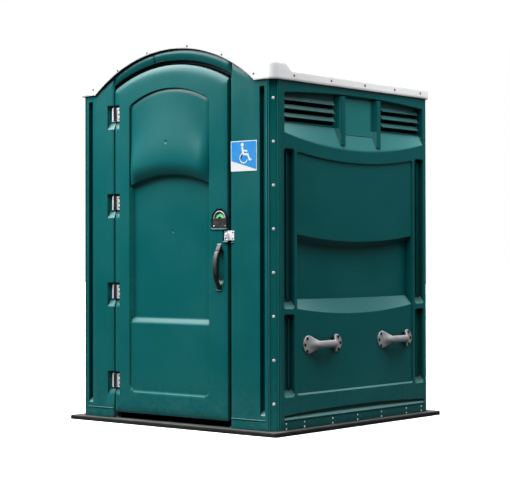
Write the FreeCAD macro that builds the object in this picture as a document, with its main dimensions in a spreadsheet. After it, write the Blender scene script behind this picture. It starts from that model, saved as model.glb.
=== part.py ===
import FreeCAD, Part
import math
import os

# Portable toilet cabin, wheelchair size. Millimetres, +Z up, the door faces -Y.
# The origin is the centre of the base's underside. Heights on the walls count from the top of the deck.

Vector = FreeCAD.Vector
os.makedirs("parts", exist_ok=True)
doc = FreeCAD.newDocument("ToiletCabin")

SIZES = {
    # Plan and base
    "cabin_side": 1560,
    "corner_leg": 45,
    "flange": 52,
    "base_corner": 14,
    "slab_thick": 20,
    "deck_thick": 6,
    "wall_skin": 5,
    "post_lap": 12,
    "post_wall": 5,
    "clearance": 0.3,
    # Roof
    "skirt_foot": 1988,
    "skirt_proud": 11,
    "skirt_draft": 5,
    "eave_under": 2035,
    "eave_edge": "=eave_under + 6",
    "vault_half": 640,
    "vault_foot": "=eave_edge + 11",
    "vault_rise": 212,
    "vault_peak": "=vault_foot + vault_rise",
    "visor_foot": "=vault_foot + 32",
    "visor_raise": 22,
    "visor_peak": "=vault_peak + visor_raise",
    "visor_deep": 100,
    "visor_slope": 50,
    "rim_arch_foot": "=skirt_foot + 4",
    "rim_band": 43,
    "rim_arch_peak": "=vault_peak - rim_band",
    "envelope_top": "=visor_peak + 10",
    "roof_corner": 50,
    # Doorway and front wall
    "doorway_left": -493,
    "doorway_right": 458,
    "doorway_foot": 2040,
    "doorway_rise": 115,
    "doorway_peak": "=doorway_foot + doorway_rise",
    "header_seam": -155,
    "jamb_deep": 43,
    "stop_lap": 18,
    "stop_hold": 26,
    "stop_thick": 6,
    "kick_top": 50,
    "kick_proud": 3,
    "groove_in": 676,
    "groove_out": 712,
    "groove_low": 85,
    "groove_top": 1950,
    "groove_deep": 25,
    # Door leaf
    "door_left": "=doorway_left + 7",
    "door_right": "=doorway_right - 17",
    "door_low": 38,
    "door_foot": "=doorway_foot - 28",
    "door_peak": "=doorway_peak - 27",
    "door_shell": 38,
    "door_back": 4,
    "door_panel_left": "=door_left + 127",
    "door_panel_right": "=door_right - 151",
    "door_panel_low": 165,
    "door_panel_foot": "=door_foot - 107",
    "door_panel_rise": 87,
    "door_panel_deep": 7,
    "door_well_low": 583,
    "door_well_foot": 1419,
    "door_well_rise": 59,
    "door_well_deep": 33,
    "door_well_shelf": 37,
    # Hinges
    "hinge_low": 228,
    "hinge_pitch": 544,
    "hinge_tall": 83,
    "hinge_leaf": 3,
    "hinge_crank": 2,
    "jamb_leaf_reach": 33,
    "door_leaf_reach": 40,
    "hinge_pocket_deep": 20,
    "hinge_pocket_foot": 91,
    "hinge_pocket_head": 56,
    "hinge_pocket_ramp": 36,
    "hinge_pocket_left": "=doorway_left - 54",
    "hinge_pocket_right": "=door_left + 43",
    "hinge_proud": 3,
    "barrel_radius": 4.5,
    "pin_radius": 2,
    "pin_clearance": 0.05,
    # Lock, hasp and handle of the door
    "lock_x": "=door_right - 69",
    "lock_z": 1200,
    "lock_plate_half": 53,
    "lock_plate_drop": 49,
    "lock_pocket_margin": 8,
    "lock_pocket_deep": 10,
    "indicator_radius": 38,
    "lock_web": 4,
    "lock_hub": 12,
    "disc_thick": 3,
    "cam_thick": 4,
    "spindle_radius": 6,
    "cam_reach": 76,
    "lever_long": 62,
    "hasp_z": 1106,
    "hasp_tall": 55,
    "hasp_thick": 3,
    "hasp_proud": 24,
    "hasp_pocket_left": "=door_right - 43",
    "hasp_pocket_foot": 38,
    "hasp_pocket_head": 30,
    "hasp_pocket_deep": 8,
    "hasp_jamb_right": "=doorway_right + 28",
    "handle_x": "=lock_x",
    "handle_z": 927,
    "handle_tall": 274,
    "handle_wide": 30,
    "handle_proud": 50,
    "handle_strap": 14,
    "grip_scoop_half": 104,
    # Side walls
    "side_shift": 12,
    "vent_half": 697,
    "vent_low": 1690,
    "vent_smile": 77,
    "vent_top": 1920,
    "vent_rise": 27,
    "vent_deep": 34,
    "vent_floor_low": 1752,
    "fin_front": -137,
    "fin_rear": 223,
    "fin_face": 36,
    "fin_flare": 34,
    "fin_low": 1646,
    "fin_top": 1936,
    "blade_first": 1781,
    "blade_pitch": 48.5,
    "blade_rise": 26,
    "blade_out": 13,
    "blade_gap": 21,
    "panel_half": 584,
    "panel_low": 190,
    "panel_top": 1588,
    "panel_smile": 45,
    "panel_deep": 8,
    "well_low": 686,
    "well_low_drop": 40,
    "well_top": 1113,
    "well_smile": 40,
    "well_deep": 49,
    "well_shelf": 740,
    "side_groove_in": 607,
    "side_groove_out": 704,
    "side_groove_split": 672,
    "band_half": 702,
    "band_low": 62,
    "band_top": 82,
    "band_rise": 18,
    "band_deep": 12,
    # Handles on the side walls
    "grip_front": -340,
    "grip_rear": 392,
    "grip_long": 364,
    "grip_z": 475,
    "grip_fan": 113,
    "grip_bar": 36,
    "grip_strap": 16,
    "grip_proud": 50,
    # Fasteners
    "rivet_radius": 9,
    "rivet_proud": 3,
    "rivet_low": 153,
    "rivet_pitch": 247,
    "screw_radius": 5,
    "screw_proud": 2.5,
    "roof_screw_radius": 7,
    "roof_screw_rise": 29,
    # Toilet
    "tank_half": 380,
    "tank_front": 190,
    "tank_rear": 758,
    "tank_tall": 440,
    "tank_skin": 6,
    "tank_lean": 40,
    "seat_half": 185,
    "seat_front": 205,
    "seat_full": 360,
    "seat_rear": 611,
    "seat_thick": 22,
    "seat_hole_y": 420,
    "seat_hole_half": 112,
    "seat_hole_long_half": 145,
    "lid_thick": 12,
    "lid_gap": 0.5,
    "seat_axis_y": "=seat_rear + 39",
    "seat_axis_rise": "=seat_thick + lid_gap + lid_thick / 2",
    "lid_lean": 95,
    "rod_radius": 4,
    "ear_in": 90,
    "ear_thick": 15,
    "lug_foot": 14,
    "pipe_x": -300,
    "pipe_y": 655,
    "pipe_radius": 50,
    "pipe_wall": 3,
    "pipe_top": "=vault_peak - 8",
    "cap_over": 16,
    "cap_low": "=pipe_top - 12",
    "cap_tall": 28,
    # Rails and paper
    "rail_z": 960,
    "rail_front": -100,
    "rail_rear": 520,
    "rail_radius": 16,
    "rail_stand": 62,
    "rail_bend": 45,
    "rail_flange": 38,
    "paper_y": 120,
    "paper_z": 800,
    "roll_radius": 55,
    "roll_core": 20,
    "roll_wide": 100,
}

sheet = doc.addObject("Spreadsheet::Sheet", "Sizes")
for row, (alias, value) in enumerate(SIZES.items(), start=1):
    sheet.set(f"A{row}", alias)
    sheet.set(f"B{row}", str(value))
    sheet.setAlias(f"B{row}", alias)
doc.recompute()


class Values:
    """The sheet's cells as plain numbers, by alias."""

    def __getattr__(self, alias):
        return float(sheet.get(alias))


v = Values()
parts = []

half = v.cabin_side / 2
edge = half - v.corner_leg
deck_top = v.slab_thick + v.deck_thick
DECK = "Sizes.slab_thick + Sizes.deck_thick"


class Arch:
    """A circular arch between two feet of the same height."""

    def __init__(self, left, right, foot, peak):
        self.left, self.right, self.foot, self.peak = left, right, foot, peak
        self.middle = (left + right) / 2
        span = (right - left) / 2
        rise = peak - foot
        self.radius = (span**2 + rise**2) / (2 * rise)

    def height(self, x):
        return self.peak - self.radius + math.sqrt(self.radius**2 - (x - self.middle) ** 2)

    def rise(self, x0, x1):
        """Rise of the stretch from x0 to x1 over its own chord."""
        chord = math.hypot(x1 - x0, self.height(x1) - self.height(x0))
        return self.radius - math.sqrt(self.radius**2 - chord**2 / 4)


def outline(corners, bulges=None, radii=0):
    """A closed outline, material on the left; sides may bulge by an arc's rise, corners may be rounded."""
    count = len(corners)
    points = [Vector(x, y, 0) for x, y in corners]
    bulges = bulges or [0] * count
    radii = radii if isinstance(radii, (list, tuple)) else [radii] * count
    starts, ends, middles = [], [], []
    for i in range(count):
        chord = points[(i + 1) % count] - points[i]
        along = Vector(chord).normalize()
        out = Vector(along.y, -along.x, 0)
        turn = 2 * math.atan(2 * bulges[i] / chord.Length)
        starts.append(along * math.cos(turn) + out * math.sin(turn))
        ends.append(along * math.cos(turn) - out * math.sin(turn))
        middles.append((points[i] + points[(i + 1) % count]) / 2 + out * bulges[i])
    before, after, arcs = [], [], []
    for i in range(count):
        come, go = ends[i - 1], starts[i]
        side = 1 if come.x * go.y - come.y * go.x >= 0 else -1
        trim = radii[i] * math.tan(come.getAngle(go) / 2)
        before.append(points[i] - come * trim)
        after.append(points[i] + go * trim)
        centre = before[i] + Vector(-come.y, come.x, 0) * (side * radii[i])
        arcs.append(centre + (points[i] - centre).normalize() * radii[i] if radii[i] else None)
    edges = []
    for i in range(count):
        if arcs[i]:
            edges.append(Part.Arc(before[i], arcs[i], after[i]))
        finish = before[(i + 1) % count]
        if bulges[i]:
            edges.append(Part.Arc(after[i], middles[i], finish))
        else:
            edges.append(Part.LineSegment(after[i], finish))
    return edges


def quad(x0, x1, z0, z1, low=0, high=0, radius=0, cut=0, grow=0):
    """An upright four-sided outline: at mid width its lower edge sags by low and its upper rises by high."""
    x0, x1, z0, z1 = x0 - grow, x1 + grow, z0 - grow, z1 + grow
    if cut:
        right = [(x1 - cut, z0), (x1, z0 + cut), (x1, z1 - cut), (x1 - cut, z1)]
        left = [(x0 + cut, z1), (x0, z1 - cut), (x0, z0 + cut), (x0 + cut, z0)]
        return outline(right + left)
    corners = [(x0, z0), (x1, z0), (x1, z1), (x0, z1)]
    return outline(corners, [low, 0, high, 0], radius + grow if radius else 0)


def circle(x, y, radius):
    return [Part.Circle(Vector(x, y, 0), Vector(0, 0, 1), radius)]


def bind(thing, name, value):
    """Sets a property to a number, or binds it to an expression of the sheet."""
    if isinstance(value, str):
        thing.setExpression(name, value)
    else:
        setattr(thing, name, value)


def new_body(label, turn=0, x=0, y=0, z=DECK):
    """A body with a label and a place; turn is about the vertical, in degrees."""
    body = doc.addObject("PartDesign::Body", label)
    body.Label = label
    body.Placement = FreeCAD.Placement(Vector(), FreeCAD.Rotation(Vector(0, 0, 1), turn))
    for axis, value in (("x", x), ("y", y), ("z", z)):
        body.setExpression(f"Placement.Base.{axis}", str(value))
    parts.append(body)
    return body


def sketch(body, name, edges, role="XZ_Plane", lift=None):
    """A sketch on one of the body's own planes, lifted along the plane's normal."""
    flat = body.newObject("Sketcher::SketchObject", name)
    plane = next(f for f in body.Origin.OriginFeatures if f.Role == role)
    flat.AttachmentSupport = [(plane, "")]
    flat.MapMode = "FlatFace"
    if lift:
        flat.setExpression("AttachmentOffset.Base.z", str(lift))
    flat.addGeometry(edges, False)
    return flat


def pad(body, name, edges, length, role="XZ_Plane", lift=None, inwards=True, middle=False):
    """Adds a prism. On the wall plane it goes into the wall unless inwards is off."""
    feature = body.newObject("PartDesign::Pad", name)
    feature.Profile = sketch(body, name + "Sketch", edges, role, lift)
    bind(feature, "Length", length)
    feature.Reversed = inwards
    feature.Midplane = middle
    return feature


def pocket(body, name, edges, length, role="XZ_Plane", lift=None, flip=False, middle=False):
    """Cuts a prism. On the wall plane it goes into the wall unless flipped."""
    feature = body.newObject("PartDesign::Pocket", name)
    feature.Profile = sketch(body, name + "Sketch", edges, role, lift)
    bind(feature, "Length", length)
    feature.Reversed = flip
    feature.Midplane = middle
    return feature


def loft(body, name, first, second, near, far, cut=False):
    """Adds or cuts the ruled form between two outlines, at two depths behind the wall's face."""
    kind = "PartDesign::SubtractiveLoft" if cut else "PartDesign::AdditiveLoft"
    feature = body.newObject(kind, name)
    feature.Profile = sketch(body, name + "Near", first, lift=f"-({near})")
    feature.Sections = [sketch(body, name + "Far", second, lift=f"-({far})")]
    feature.Ruled = True
    return feature


def relief(body, recesses):
    """Presses recesses into a moulded skin: first the trays that stand out behind it, then their hollows."""
    for name, face, floor, near, far in recesses:
        grown_face = quad(**face, grow=v.wall_skin)
        grown_floor = quad(**floor, grow=v.wall_skin)
        loft(body, name + "Tray", grown_face, grown_floor, near, f"{far} + Sizes.wall_skin")
    for name, face, floor, near, far in recesses:
        loft(body, name + "Hollow", quad(**face), quad(**floor), near, far, cut=True)


def shape_part(label, shape):
    """A part whose shape is worked out here from the sheet's values."""
    feature = doc.addObject("Part::Feature", label)
    feature.Label = label
    feature.Shape = shape
    parts.append(feature)
    return feature


def prism(edges, direction, to_plane=None):
    """A solid prism over an outline drawn in X and Y, after an optional move of the outline's plane."""
    wire = Part.Wire([e.toShape() for e in edges])
    if to_plane:
        wire.Placement = to_plane
    return Part.Face(wire).extrude(direction)


def upright(y):
    """Carries an outline drawn in X and Y to X and Z at a depth y."""
    return FreeCAD.Placement(Vector(0, y, 0), FreeCAD.Rotation(Vector(1, 0, 0), 90))


def heads(label, places, radius, proud, sides=0):
    """A group of like fastener heads; each place is a point on the face and the way the head stands out."""
    group = []
    for number, (point, way) in enumerate(places):
        kind = "Part::Prism" if sides else "Part::Cylinder"
        head = doc.addObject(kind, f"{label}_{number}")
        if sides:
            head.Polygon = sides
            bind(head, "Circumradius", radius)
        else:
            bind(head, "Radius", radius)
        bind(head, "Height", proud)
        head.Placement = FreeCAD.Placement(point, FreeCAD.Rotation(Vector(0, 0, 1), way))
        group.append(head)
    compound = doc.addObject("Part::Compound", label)
    compound.Label = label
    compound.Links = group
    parts.append(compound)
    return compound


WALLS = {"right": 90, "rear": 180, "left": -90}


def wall_point(turn, x, z, out=0):
    """The place on a wall, x to the right as seen from outside and z above the deck."""
    spot = Vector(x, -half - out, z + deck_top)
    return FreeCAD.Rotation(Vector(0, 0, 1), turn).multVec(spot)


def wall_way(turn):
    return FreeCAD.Rotation(Vector(0, 0, 1), turn).multVec(Vector(0, -1, 0))


def wall_body(label, turn, sunk="0"):
    """A body whose XZ plane is the outer face of a wall, or lies a little behind it."""
    way = wall_way(turn)
    reach = f"(Sizes.cabin_side / 2 - {sunk})"
    return new_body(label, turn, f"{way.x:.0f} * {reach}", f"{way.y:.0f} * {reach}")


# Base: a slab with a deck sheet that stands out round the walls
def square(reach, radius):
    return outline([(-reach, -reach), (reach, -reach), (reach, reach), (-reach, reach)], radii=radius)


def base():
    reach = half + v.flange
    slab = new_body("base_slab", z=0)
    pad(slab, "Slab", square(reach, v.base_corner), "Sizes.slab_thick", "XY_Plane", inwards=False)
    deck = new_body("base_deck", z="Sizes.slab_thick")
    pad(deck, "Deck", square(reach - 2, v.base_corner), "Sizes.deck_thick", "XY_Plane", inwards=False)


# Corner posts: folded strips whose angled face bridges two walls and whose laps lie behind them
def posts():
    skin, wall, lap = v.wall_skin, v.post_wall, v.post_lap
    inner = half - skin
    back = inner - wall
    diagonal = half + edge - wall * math.sqrt(2)
    profile = [
        (edge, -half),
        (half, -edge),
        (inner, -edge),
        (inner, -edge + lap),
        (back, -edge + lap),
        (back, back - diagonal),
        (diagonal - back, -back),
        (edge - lap, -back),
        (edge - lap, -inner),
        (edge, -inner),
    ]
    names = ("post_front_right", "post_rear_right", "post_rear_left", "post_front_left")
    for number, name in enumerate(names):
        body = new_body(name, 90 * number)
        pad(body, "Strip", outline(profile), "Sizes.eave_under", "XY_Plane", inwards=False)


# Front wall: two mouldings that meet in the header over the doorway
def doorway_arch(grow=0):
    foot, peak = v.doorway_foot + grow * 0.9, v.doorway_peak + grow
    return Arch(v.doorway_left - grow, v.doorway_right + grow, foot, peak)


def gable_arch():
    return Arch(-v.vault_half, v.vault_half, v.eave_under, v.vault_peak - v.wall_skin - v.clearance)


def hinge_heights():
    return [v.hinge_low + v.hinge_pitch * i for i in range(4)]


def edge_pocket(body, name, inner, outer, low, high, ramp, depth):
    """A pocket that runs out at the edge of a moulding, with a sloping foot."""
    skin = v.wall_skin
    side = 1 if outer > inner else -1
    start, end = sorted((inner - side * skin, outer))
    pad(body, name + "Tray", quad(start, end, low - skin, high + skin), depth + skin)
    profile = outline([(-1, low), (0, low), (depth, low + ramp), (depth, high), (-1, high)])
    start, end = sorted((inner, outer + side))
    pocket(body, name, profile, end - start, "YZ_Plane", lift=start, flip=True)


def hinge_pockets(body, inner, outer):
    for number, z in enumerate(hinge_heights(), start=1):
        edge_pocket(
            body, f"HingePocket{number}", inner, outer, z - v.hinge_pocket_foot, z + v.hinge_pocket_head,
            v.hinge_pocket_ramp, v.hinge_pocket_deep,
        )


def groove(side):
    """The long upright groove beside a corner post."""
    x0, x1 = sorted((side * v.groove_in, side * v.groove_out))
    face = dict(x0=x0, x1=x1, z0=v.groove_low, z1=v.groove_top)
    floor = dict(x0=x0 + 4, x1=x1 - 4, z0=v.groove_low + 26, z1=v.groove_top - 3)
    return ("Groove", face, floor, "0", "Sizes.groove_deep")


def kick(body, x0, x1):
    """The foot of a front moulding leans out a little."""
    profile = outline([(-v.kick_proud, 0), (0, 0), (0, v.kick_top)])
    pad(body, "Kick", profile, x1 - x0, "YZ_Plane", lift=x0, inwards=False)


def front_left():
    body = wall_body("front_panel_left", 0)
    low, top, jamb = doorway_arch(), gable_arch(), doorway_arch(v.wall_skin)
    left, seam = v.doorway_left, v.header_seam
    skin = outline(
        [(-edge, 0), (left, 0), (left, low.foot), (seam, low.height(seam)), (seam, top.height(seam)),
         (-v.vault_half, top.foot), (-edge, top.foot)],
        [0, 0, -low.rise(left, seam), 0, top.rise(-v.vault_half, seam), 0, 0],
    )
    pad(body, "Skin", skin, "Sizes.wall_skin")
    rim = outline(
        [(jamb.left, 0), (left, 0), (left, low.foot), (seam, low.height(seam)), (seam, jamb.height(seam)),
         (jamb.left, jamb.foot)],
        [0, 0, -low.rise(left, seam), 0, jamb.rise(jamb.left, seam), 0],
    )
    pad(body, "Rim", rim, "Sizes.jamb_deep")
    relief(body, [groove(-1)])
    hinge_pockets(body, v.hinge_pocket_left, left)
    kick(body, -edge, left)


def front_right():
    body = wall_body("front_panel_right", 0)
    low, top, jamb = doorway_arch(), gable_arch(), doorway_arch(v.wall_skin)
    right, seam = v.doorway_right, v.header_seam
    skin = outline(
        [(right, 0), (edge, 0), (edge, top.foot), (v.vault_half, top.foot), (seam, top.height(seam)),
         (seam, low.height(seam)), (right, low.foot)],
        [0, 0, 0, top.rise(seam, v.vault_half), 0, -low.rise(seam, right), 0],
    )
    pad(body, "Skin", skin, "Sizes.wall_skin")
    rim = outline(
        [(right, 0), (jamb.right, 0), (jamb.right, jamb.foot), (seam, jamb.height(seam)),
         (seam, low.height(seam)), (right, low.foot)],
        [0, 0, jamb.rise(seam, jamb.right), 0, -low.rise(seam, right), 0],
    )
    pad(body, "Rim", rim, "Sizes.jamb_deep")
    relief(body, [groove(1)])
    kick(body, right, edge)


def door_stop():
    body = wall_body("door_stop", 0)
    inner, outer = doorway_arch(-v.stop_lap), doorway_arch(v.stop_hold)
    profile = outline(
        [(outer.left, 0), (inner.left, 0), (inner.left, inner.foot), (inner.right, inner.foot),
         (inner.right, 0), (outer.right, 0), (outer.right, outer.foot), (outer.left, outer.foot)],
        [0, 0, -inner.rise(inner.left, inner.right), 0, 0, 0, outer.rise(outer.left, outer.right), 0],
        [0, 0, 20, 20, 0, 0, 20, 20],
    )
    pad(body, "Frame", profile, "Sizes.stop_thick", lift="-Sizes.jamb_deep")


def sill_clips():
    """Small bent clips that hold the foot of each jamb to the deck."""
    clips = []
    for x, side in ((v.doorway_left, 1), (v.doorway_right, -1)):
        foot = outline([(0, 0), (24, 0), (24, 2), (2, 2), (2, 34), (0, 34)])
        clip = prism(foot, Vector(0, 18, 0), upright(0))
        clip = clip.mirror(Vector(), Vector(1, 0, 0)) if side < 0 else clip
        clip.translate(Vector(x, -half + 20, deck_top))
        clips.append(clip)
    shape_part("sill_clips", Part.makeCompound(clips))


# Side and rear walls: one moulded skin each, with the same pressed panels
def pressed_panels(shift):
    """The shallow panel with its deep well, the upright grooves at both sides and the band at the foot."""
    p0, p1 = shift - v.panel_half, shift + v.panel_half
    b0, b1 = shift - v.band_half, shift + v.band_half
    smile = -v.panel_smile
    found = [
        (
            "Panel",
            dict(x0=p0, x1=p1, z0=v.panel_low, z1=v.panel_top, high=smile, radius=14),
            dict(x0=p0 + 4, x1=p1 - 4, z0=v.panel_low + 10, z1=v.panel_top - 3, high=smile, radius=11),
            "0",
            "Sizes.panel_deep",
        ),
        (
            "Well",
            dict(x0=p0 + 6, x1=p1 - 6, z0=v.well_low, z1=v.well_top, low=v.well_low_drop, high=-v.well_smile),
            dict(x0=p0 + 16, x1=p1 - 16, z0=v.well_shelf, z1=v.well_top - 34, low=4, high=-v.well_smile + 2),
            "Sizes.panel_deep",
            "Sizes.well_deep",
        ),
        (
            "FootBand",
            dict(x0=b0, x1=b1, z0=v.band_low, z1=v.band_top, high=v.band_rise),
            dict(x0=b0 + 4, x1=b1 - 4, z0=v.band_low + 14, z1=v.band_top - 2, high=v.band_rise),
            "0",
            "Sizes.band_deep",
        ),
    ]
    for side in (-1, 1):
        x0, x1 = sorted((shift + side * v.side_groove_in, shift + side * v.side_groove_out))
        split = v.side_groove_split
        for name, z0, z1 in (("Upper", split + 14, v.panel_top + 12), ("Lower", v.panel_low - 6, split - 16)):
            face = dict(x0=x0, x1=x1, z0=z0, z1=z1, cut=12)
            floor = dict(x0=x0 + 8, x1=x1 - 8, z0=z0 + 40, z1=z1 - 10, cut=8)
            tag = "Front" if side < 0 else "Rear"
            found.append((name + tag, face, floor, "0", "Sizes.groove_deep"))
    return found


def vent(body):
    """The vent pocket over the smile: two louvred bays, and a plain bay between two flared fins."""
    shift = v.side_shift
    x0, x1 = shift - v.vent_half, shift + v.vent_half
    face = dict(x0=x0, x1=x1, z0=v.vent_low, z1=v.vent_top, low=v.vent_smile, high=v.vent_rise, radius=10)
    low, high = v.vent_floor_low, v.vent_top - 8
    floor = dict(x0=x0 + 8, x1=x1 - 8, z0=low, z1=high, low=3, high=v.vent_rise, radius=8)
    relief(body, [("Vent", face, floor, "0", "Sizes.vent_deep")])
    fins = (shift + v.fin_front, shift + v.fin_rear)
    for tag, x in zip(("Front", "Rear"), fins):
        near = quad(x - v.fin_face / 2, x + v.fin_face / 2, v.fin_low, v.fin_top)
        wide = v.fin_face / 2 + v.fin_flare
        far = quad(x - wide, x + wide, v.fin_low, v.fin_top)
        loft(body, "Fin" + tag, near, far, "0", "Sizes.vent_deep")
    bay = quad(fins[0], fins[1], low - 40, v.fin_top - 6)
    pad(body, "PlainBay", bay, "Sizes.vent_deep / 3", lift="-Sizes.vent_deep * 2 / 3")
    beside = v.fin_face / 2 + v.fin_flare + 6
    spans = ((x0 + 14, fins[0] - beside), (fins[1] + beside, x1 - 14))
    for tag, (start, end) in zip(("Front", "Rear"), spans):
        hoods, slots = [], []
        deep, lip = v.vent_deep, v.vent_deep - v.blade_out
        through = deep + v.wall_skin + 3
        for number in range(3):
            z = v.blade_first + v.blade_pitch * number
            gap, throat = z - v.blade_gap, z + v.blade_rise - 8
            hoods += outline([(lip, z), (deep, z + v.blade_rise), (deep, z)])
            slots += outline(
                [(lip + 4, z), (deep, z), (deep, gap), (through, gap), (through, throat), (deep, throat)]
            )
        pad(body, "Hoods" + tag, hoods, end - start, "YZ_Plane", lift=start, inwards=False)
        pocket(body, "Slots" + tag, slots, end - start - 6, "YZ_Plane", lift=start + 3, flip=True)


def right_side_wall():
    body = wall_body("side_panel_right", WALLS["right"])
    pad(body, "Skin", quad(-edge, edge, 0, v.eave_under), "Sizes.wall_skin")
    relief(body, pressed_panels(v.side_shift))
    vent(body)
    return body


def left_side_wall(right_wall):
    """The left wall is the right one's mirror image."""
    mirrored = doc.addObject("Part::Mirroring", "side_panel_left")
    mirrored.Label = "side_panel_left"
    mirrored.Source = right_wall
    mirrored.Normal = Vector(1, 0, 0)
    parts.append(mirrored)


def rear_wall():
    body = wall_body("rear_panel", WALLS["rear"])
    top = gable_arch()
    skin = outline(
        [(-edge, 0), (edge, 0), (edge, top.foot), (v.vault_half, top.foot), (-v.vault_half, top.foot),
         (-edge, top.foot)],
        [0, 0, 0, top.rise(-v.vault_half, v.vault_half), 0, 0],
    )
    pad(body, "Skin", skin, "Sizes.wall_skin")
    relief(body, pressed_panels(0))


# Roof: a drafted, vaulted shell with a raised rim at the front and arched skirts front and rear
def vault_outline(foot, peak, edge_height):
    wide, reach = v.vault_half, half + 40
    low = v.skirt_foot
    arch = Arch(-wide, wide, foot, peak)
    right = [(reach, low), (reach, edge_height), (wide, foot)]
    left = [(-x, z) for x, z in right[::-1]]
    return outline(right + left, [0, 0, arch.rise(-wide, wide), 0, 0, 0])


def roof():
    out = half + v.skirt_proud
    foot, crown = deck_top + v.skirt_foot, deck_top + v.envelope_top
    lower = Part.Wire([e.toShape() for e in square(out, v.roof_corner)])
    upper = Part.Wire([e.toShape() for e in square(out - v.skirt_draft, v.roof_corner)])
    lower.translate(Vector(0, 0, foot))
    upper.translate(Vector(0, 0, crown))
    envelope = Part.makeLoft([lower, upper], True, True)

    lift = Vector(0, 0, deck_top)
    vault = vault_outline(v.vault_foot, v.vault_peak, v.eave_edge)
    visor = vault_outline(v.visor_foot, v.visor_peak, v.visor_foot)
    body = prism(vault, Vector(0, 4 * half, 0), upright(-2 * half))
    front = prism(visor, Vector(0, half + v.visor_deep, 0), upright(-2 * half))
    start, end = upright(v.visor_deep - half), upright(v.visor_deep + v.visor_slope - half)
    wires = []
    for edges, place in ((visor, start), (vault, end)):
        wire = Part.Wire([e.toShape() for e in edges])
        wire.Placement = place
        wires.append(wire)
    slope = Part.makeLoft(wires, True, True)
    solid = body.fuse([front, slope])
    solid.translate(lift)
    solid = envelope.common(solid)

    corners = [(-edge, -half), (edge, -half), (half, -edge), (half, edge)]
    walls = outline(corners + [(-x, -y) for x, y in corners])
    cavity = prism(walls, Vector(0, 0, v.eave_under))
    cavity.translate(lift)
    under = Arch(-v.vault_half, v.vault_half, v.eave_under, v.vault_peak - v.wall_skin)
    rim = Arch(-v.vault_half, v.vault_half, v.rim_arch_foot, v.rim_arch_peak)
    cuts = [cavity]
    for arch, reach, low in ((under, half, v.eave_under - 1), (rim, 2 * half, v.skirt_foot - 40)):
        shape = outline(
            [(arch.left, low), (arch.right, low), (arch.right, arch.foot), (arch.left, arch.foot)],
            [0, 0, arch.rise(arch.left, arch.right), 0],
        )
        hollow = prism(shape, Vector(0, 2 * reach, 0), upright(-reach))
        hollow.translate(lift)
        cuts.append(hollow)
    solid = solid.cut(cuts)
    hole_foot = Vector(v.pipe_x, v.pipe_y, deck_top + v.skirt_foot)
    pipe_hole = Part.makeCylinder(v.pipe_radius + v.clearance, 400, hole_foot)
    shape_part("roof", solid.cut(pipe_hole).removeSplitter())


# Door leaf: an outer moulding with a rim, and a flat inner sheet that closes it
def door_outline(inset=0):
    low = v.door_low + inset
    arch = Arch(v.door_left + inset, v.door_right - inset, v.door_foot - inset, v.door_peak - inset)
    return outline(
        [(arch.left, low), (arch.right, low), (arch.right, arch.foot), (arch.left, arch.foot)],
        [0, 0, arch.rise(arch.left, arch.right), 0],
        [20 - inset, 20 - inset, 30 - inset, 30 - inset],
    )


def dome(x, z, half_width, drop, radius=6):
    """A plate outline with a round head about (x, z) and a square foot."""
    return outline(
        [(x - half_width, z - drop), (x + half_width, z - drop), (x + half_width, z), (x - half_width, z)],
        [0, 0, half_width, 0],
        [radius, radius, 0, 0],
    )


def door():
    body = wall_body("door_outer", 0)
    pad(body, "Skin", door_outline(), "Sizes.wall_skin")
    pad(body, "Rim", door_outline() + door_outline(v.wall_skin), "Sizes.door_shell")
    left, right = v.door_panel_left, v.door_panel_right
    low, top, rise = v.door_panel_low, v.door_panel_foot, v.door_panel_rise
    panel = dict(x0=left, x1=right, z0=low, z1=top, high=rise, radius=42)
    panel_floor = dict(x0=left + 4, x1=right - 4, z0=low + 12, z1=top - 3, high=rise, radius=38)
    low, top, rise = v.door_well_low, v.door_well_foot, v.door_well_rise
    well = dict(x0=left + 6, x1=right - 6, z0=low, z1=top, high=rise)
    well_floor = dict(x0=left + 12, x1=right - 12, z0=low + v.door_well_shelf, z1=top - 14, high=rise)
    low, top = v.handle_z - v.grip_scoop_half, v.handle_z + v.grip_scoop_half
    grip = dict(x0=v.handle_x - 32, x1=v.handle_x + 32, z0=low, z1=top, radius=24)
    grip_floor = dict(x0=v.handle_x - 26, x1=v.handle_x + 26, z0=low + 23, z1=top - 5, radius=20)
    recesses = [
        ("Panel", panel, panel_floor, "0", "Sizes.door_panel_deep"),
        ("Well", well, well_floor, "Sizes.door_panel_deep", "Sizes.door_well_deep - Sizes.wall_skin"),
        ("Grip", grip, grip_floor, "0", "Sizes.door_shell / 2"),
    ]
    relief(body, recesses)
    hinge_pockets(body, v.hinge_pocket_right, v.door_left)
    margin = v.lock_pocket_margin
    half_width = v.lock_plate_half + margin
    drop = v.lock_plate_drop + margin + 2
    tray = dome(v.lock_x, v.lock_z, half_width + v.wall_skin, drop + v.wall_skin)
    pad(body, "LockTray", tray, "Sizes.lock_pocket_deep + Sizes.wall_skin")
    pocket(body, "LockPocket", dome(v.lock_x, v.lock_z, half_width, drop), "Sizes.lock_pocket_deep")
    low, high = v.hasp_z - v.hasp_pocket_foot, v.hasp_z + v.hasp_pocket_head
    edge_pocket(body, "HaspPocket", v.hasp_pocket_left, v.door_right, low, high, 8, v.hasp_pocket_deep)
    hole = circle(v.lock_x, v.lock_z, v.spindle_radius + v.clearance)
    pocket(body, "SpindleHole", hole, "Sizes.door_shell")

    back = wall_body("door_inner", 0)
    pad(back, "Sheet", door_outline(), "Sizes.door_back", lift="-Sizes.door_shell")
    pocket(back, "SpindleHole", hole, "Sizes.door_back", lift="-Sizes.door_shell")


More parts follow.
